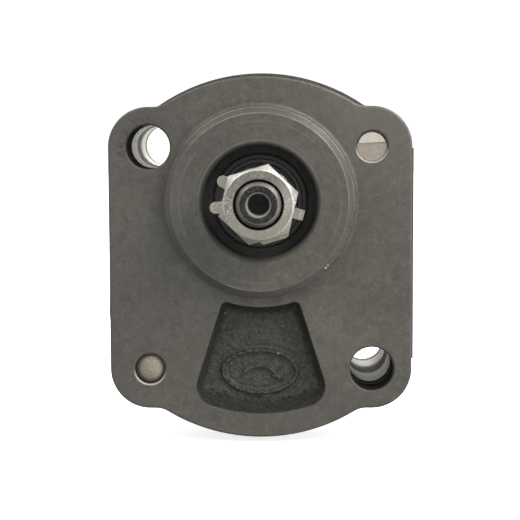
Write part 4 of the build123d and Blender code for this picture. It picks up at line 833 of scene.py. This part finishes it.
def pocket_skin():
    raw = pocket_outline()
    tl, tr = raw[0], raw[24]
    br, bl = raw[25], raw[49]
    out = soften(raw, [(tl, 3.4), (tr, 3.4), (br, 9.5), (bl, 9.5)], 560)
    n = len(out)
    cx, cz = 0.0, -66.0
    rings = 90
    verts, faces = [], []
    for j in range(rings + 1):
        s = 1 - (j / rings) ** 0.80
        s = max(s, 0.0)
        for i in range(n):
            x = cx + (out[i][0] - cx) * s
            z = cz + (out[i][1] - cz) * s
            verts.append((x, z))
    # distance to the mouth, from the outline's segments
    segs = [(Vector(out[i]), Vector(out[(i + 4) % n])) for i in range(0, n, 4)]

    def dist(x, z):
        p = Vector((x, z))
        best = 1e9
        for a, b in segs:
            ab = b - a
            t = max(0.0, min(1.0, (p - a).dot(ab) / ab.length_squared))
            best = min(best, (p - a - ab * t).length)
        return best

    cover = N["front_cover"]
    inv = cover.matrix_world.inverted()
    ray = (inv.to_3x3() @ Vector((0, 1, 0))).normalized()

    def cad_depth(x, z):
        ok, hit, _, _ = cover.ray_cast(inv @ Vector((x / 1000, -0.0005, z / 1000)), ray)
        return (cover.matrix_world @ hit).y * 1000 if ok else 7.0

    pts3 = []
    for k, (x, z) in enumerate(verts):
        d = dist(x, z) if k >= n else 0.0
        # wall width: narrow above, wide below
        low = max(0.0, min(1.0, (-68.0 - z) / 16.0))
        width = 4.6 + 1.6 * low * max(0.0, 1 - abs(x) / 34.0)
        t = min(1.0, d / width)
        depth = 6.55 * (1 - (1 - t) ** 2.1)
        q = Vector((x, z, 0.0))
        f = min(1.0, d / 1.2)
        fl = max(0.0, min(1.0, (t - 0.55) / 0.45))
        rough = mnoise.noise(Vector((x * 0.55, z * 0.55, 3.1))) * 0.32
        rough += mnoise.noise(Vector((x * 1.25, z * 1.25, 9.7))) * 0.27
        rough += mnoise.noise(Vector((x * 2.6, z * 2.6, 1.3))) * 0.14
        broad = mnoise.noise(Vector((x * 0.13, z * 0.13, 5.5))) * 0.30
        # wavy ridge left by the mould above the bottom wall
        rz = -80.6 + 0.9 * math.sin(x * 0.33 + 0.6) + 0.6 * math.sin(x * 0.71) + 0.035 * x * x * 0.35
        ridge = math.exp(-((z - rz) / 0.75) ** 2) * (0.55 + 0.35 * mnoise.noise(Vector((x * 0.5, 0.0, 2.2)))) * max(0.0, min(1.0, (24.0 - abs(x)) / 4.0))
        lower = max(0.0, min(1.0, (rz - z) / 1.5))
        depth -= fl * 0.55 * lower
        mark = relief(x, z) * fl
        depth += foot(x, z) * 0.22 * fl
        depth -= mark * (1.50 + 0.25 * mnoise.noise(Vector((x * 0.9, z * 0.9, 7.0))))
        depth -= ridge * fl
        depth += (rough * (0.35 + 0.65 * fl) * (1 - 0.45 * lower) + broad * fl) * f
        depth = max(0.04, min(6.93, depth, cad_depth(x, z) - 0.08))
        if k < n:
            depth = 0.05
        pts3.append((x / 1000, depth / 1000, z / 1000))
    for j in range(rings):
        for i in range(n):
            a, b = j * n + i, j * n + (i + 1) % n
            c, d = (j + 1) * n + (i + 1) % n, (j + 1) * n + i
            if j == rings - 1:
                faces.append((a, b, d))
            else:
                faces.append((a, b, c, d))
    return add_mesh("pocket_cast_skin", pts3, faces, "iron_pocket", "housing")


skin = pocket_skin()


# ------------------------------------------------------------------ screw threads in the ports and the shaft's end
def thread(name, origin, axis, r_root, r_crest, pitch, length, mat, body, seg=72, start=0.0):
    """An internal or external helical ridge with a triangular section, closed at both ends."""
    o = Vector(origin)
    ax = Vector(axis).normalized()
    e1 = ax.orthogonal().normalized()
    e2 = ax.cross(e1)
    turns = length / pitch
    steps = int(turns * seg)
    verts, faces = [], []
    for i in range(steps + 1):
        a = 2 * math.pi * i / seg
        h = start + pitch * i / seg
        fade = min(1.0, i / (seg * 0.4), (steps - i) / (seg * 0.4))
        rc = r_root + (r_crest - r_root) * fade
        rad = e1 * math.cos(a) + e2 * math.sin(a)
        w = pitch * 0.46
        for r, dh in ((r_root, -w), (rc, -pitch * 0.07), (rc, pitch * 0.07), (r_root, w)):
            verts.append(tuple((o + ax * (h + dh) + rad * r) / 1000))
    for i in range(steps):
        for k in range(4):
            a, b = i * 4 + k, i * 4 + (k + 1) % 4
            faces.append((a, b, b + 4, a + 4))
    faces.append((0, 1, 2, 3))
    faces.append(tuple(steps * 4 + k for k in (3, 2, 1, 0)))
    ob = add_mesh(name, verts, faces, mat, body)
    return ob


# inlet: from the spot face inwards; outlet likewise; centre hole from the shaft's end
thread("inlet_port_thread", (45.5, 51.5, -4.0), (1, 0, 0), 15.64, 14.6, 2.0, 14.0, "alloy_body", "housing", 96)
thread("outlet_port_thread", (48.0, 51.5, -46.0), (1, 0, 0), 10.19, 9.4, 1.5, 11.5, "alloy_body", "housing", 72)
thread("centre_hole_thread", (0.0, -8.0, 0.0), (0, -1, 0), 4.79, 4.25, 1.5, 18.6, "shaft_steel", "rotating_group", 48)

# ------------------------------------------------------------------ floor
bpy.ops.mesh.primitive_plane_add(size=8, location=(0, 0, cad_lo.z - 0.00015))
floor = bpy.context.object
floor.name = "floor"
fm = bpy.data.materials.new("floor")
fm.use_nodes = True
fb = fm.node_tree.nodes["Principled BSDF"]
fb.inputs["Base Color"].default_value = (0.93, 0.93, 0.925, 1)
fb.inputs["Roughness"].default_value = 0.9
fb.inputs["Specular IOR Level"].default_value = 0.1
fb.inputs["Emission Color"].default_value = (1, 1, 1, 1)
fb.inputs["Emission Strength"].default_value = 0.74
floor.visible_diffuse = False
floor.visible_glossy = False
floor.data.materials.append(fm)
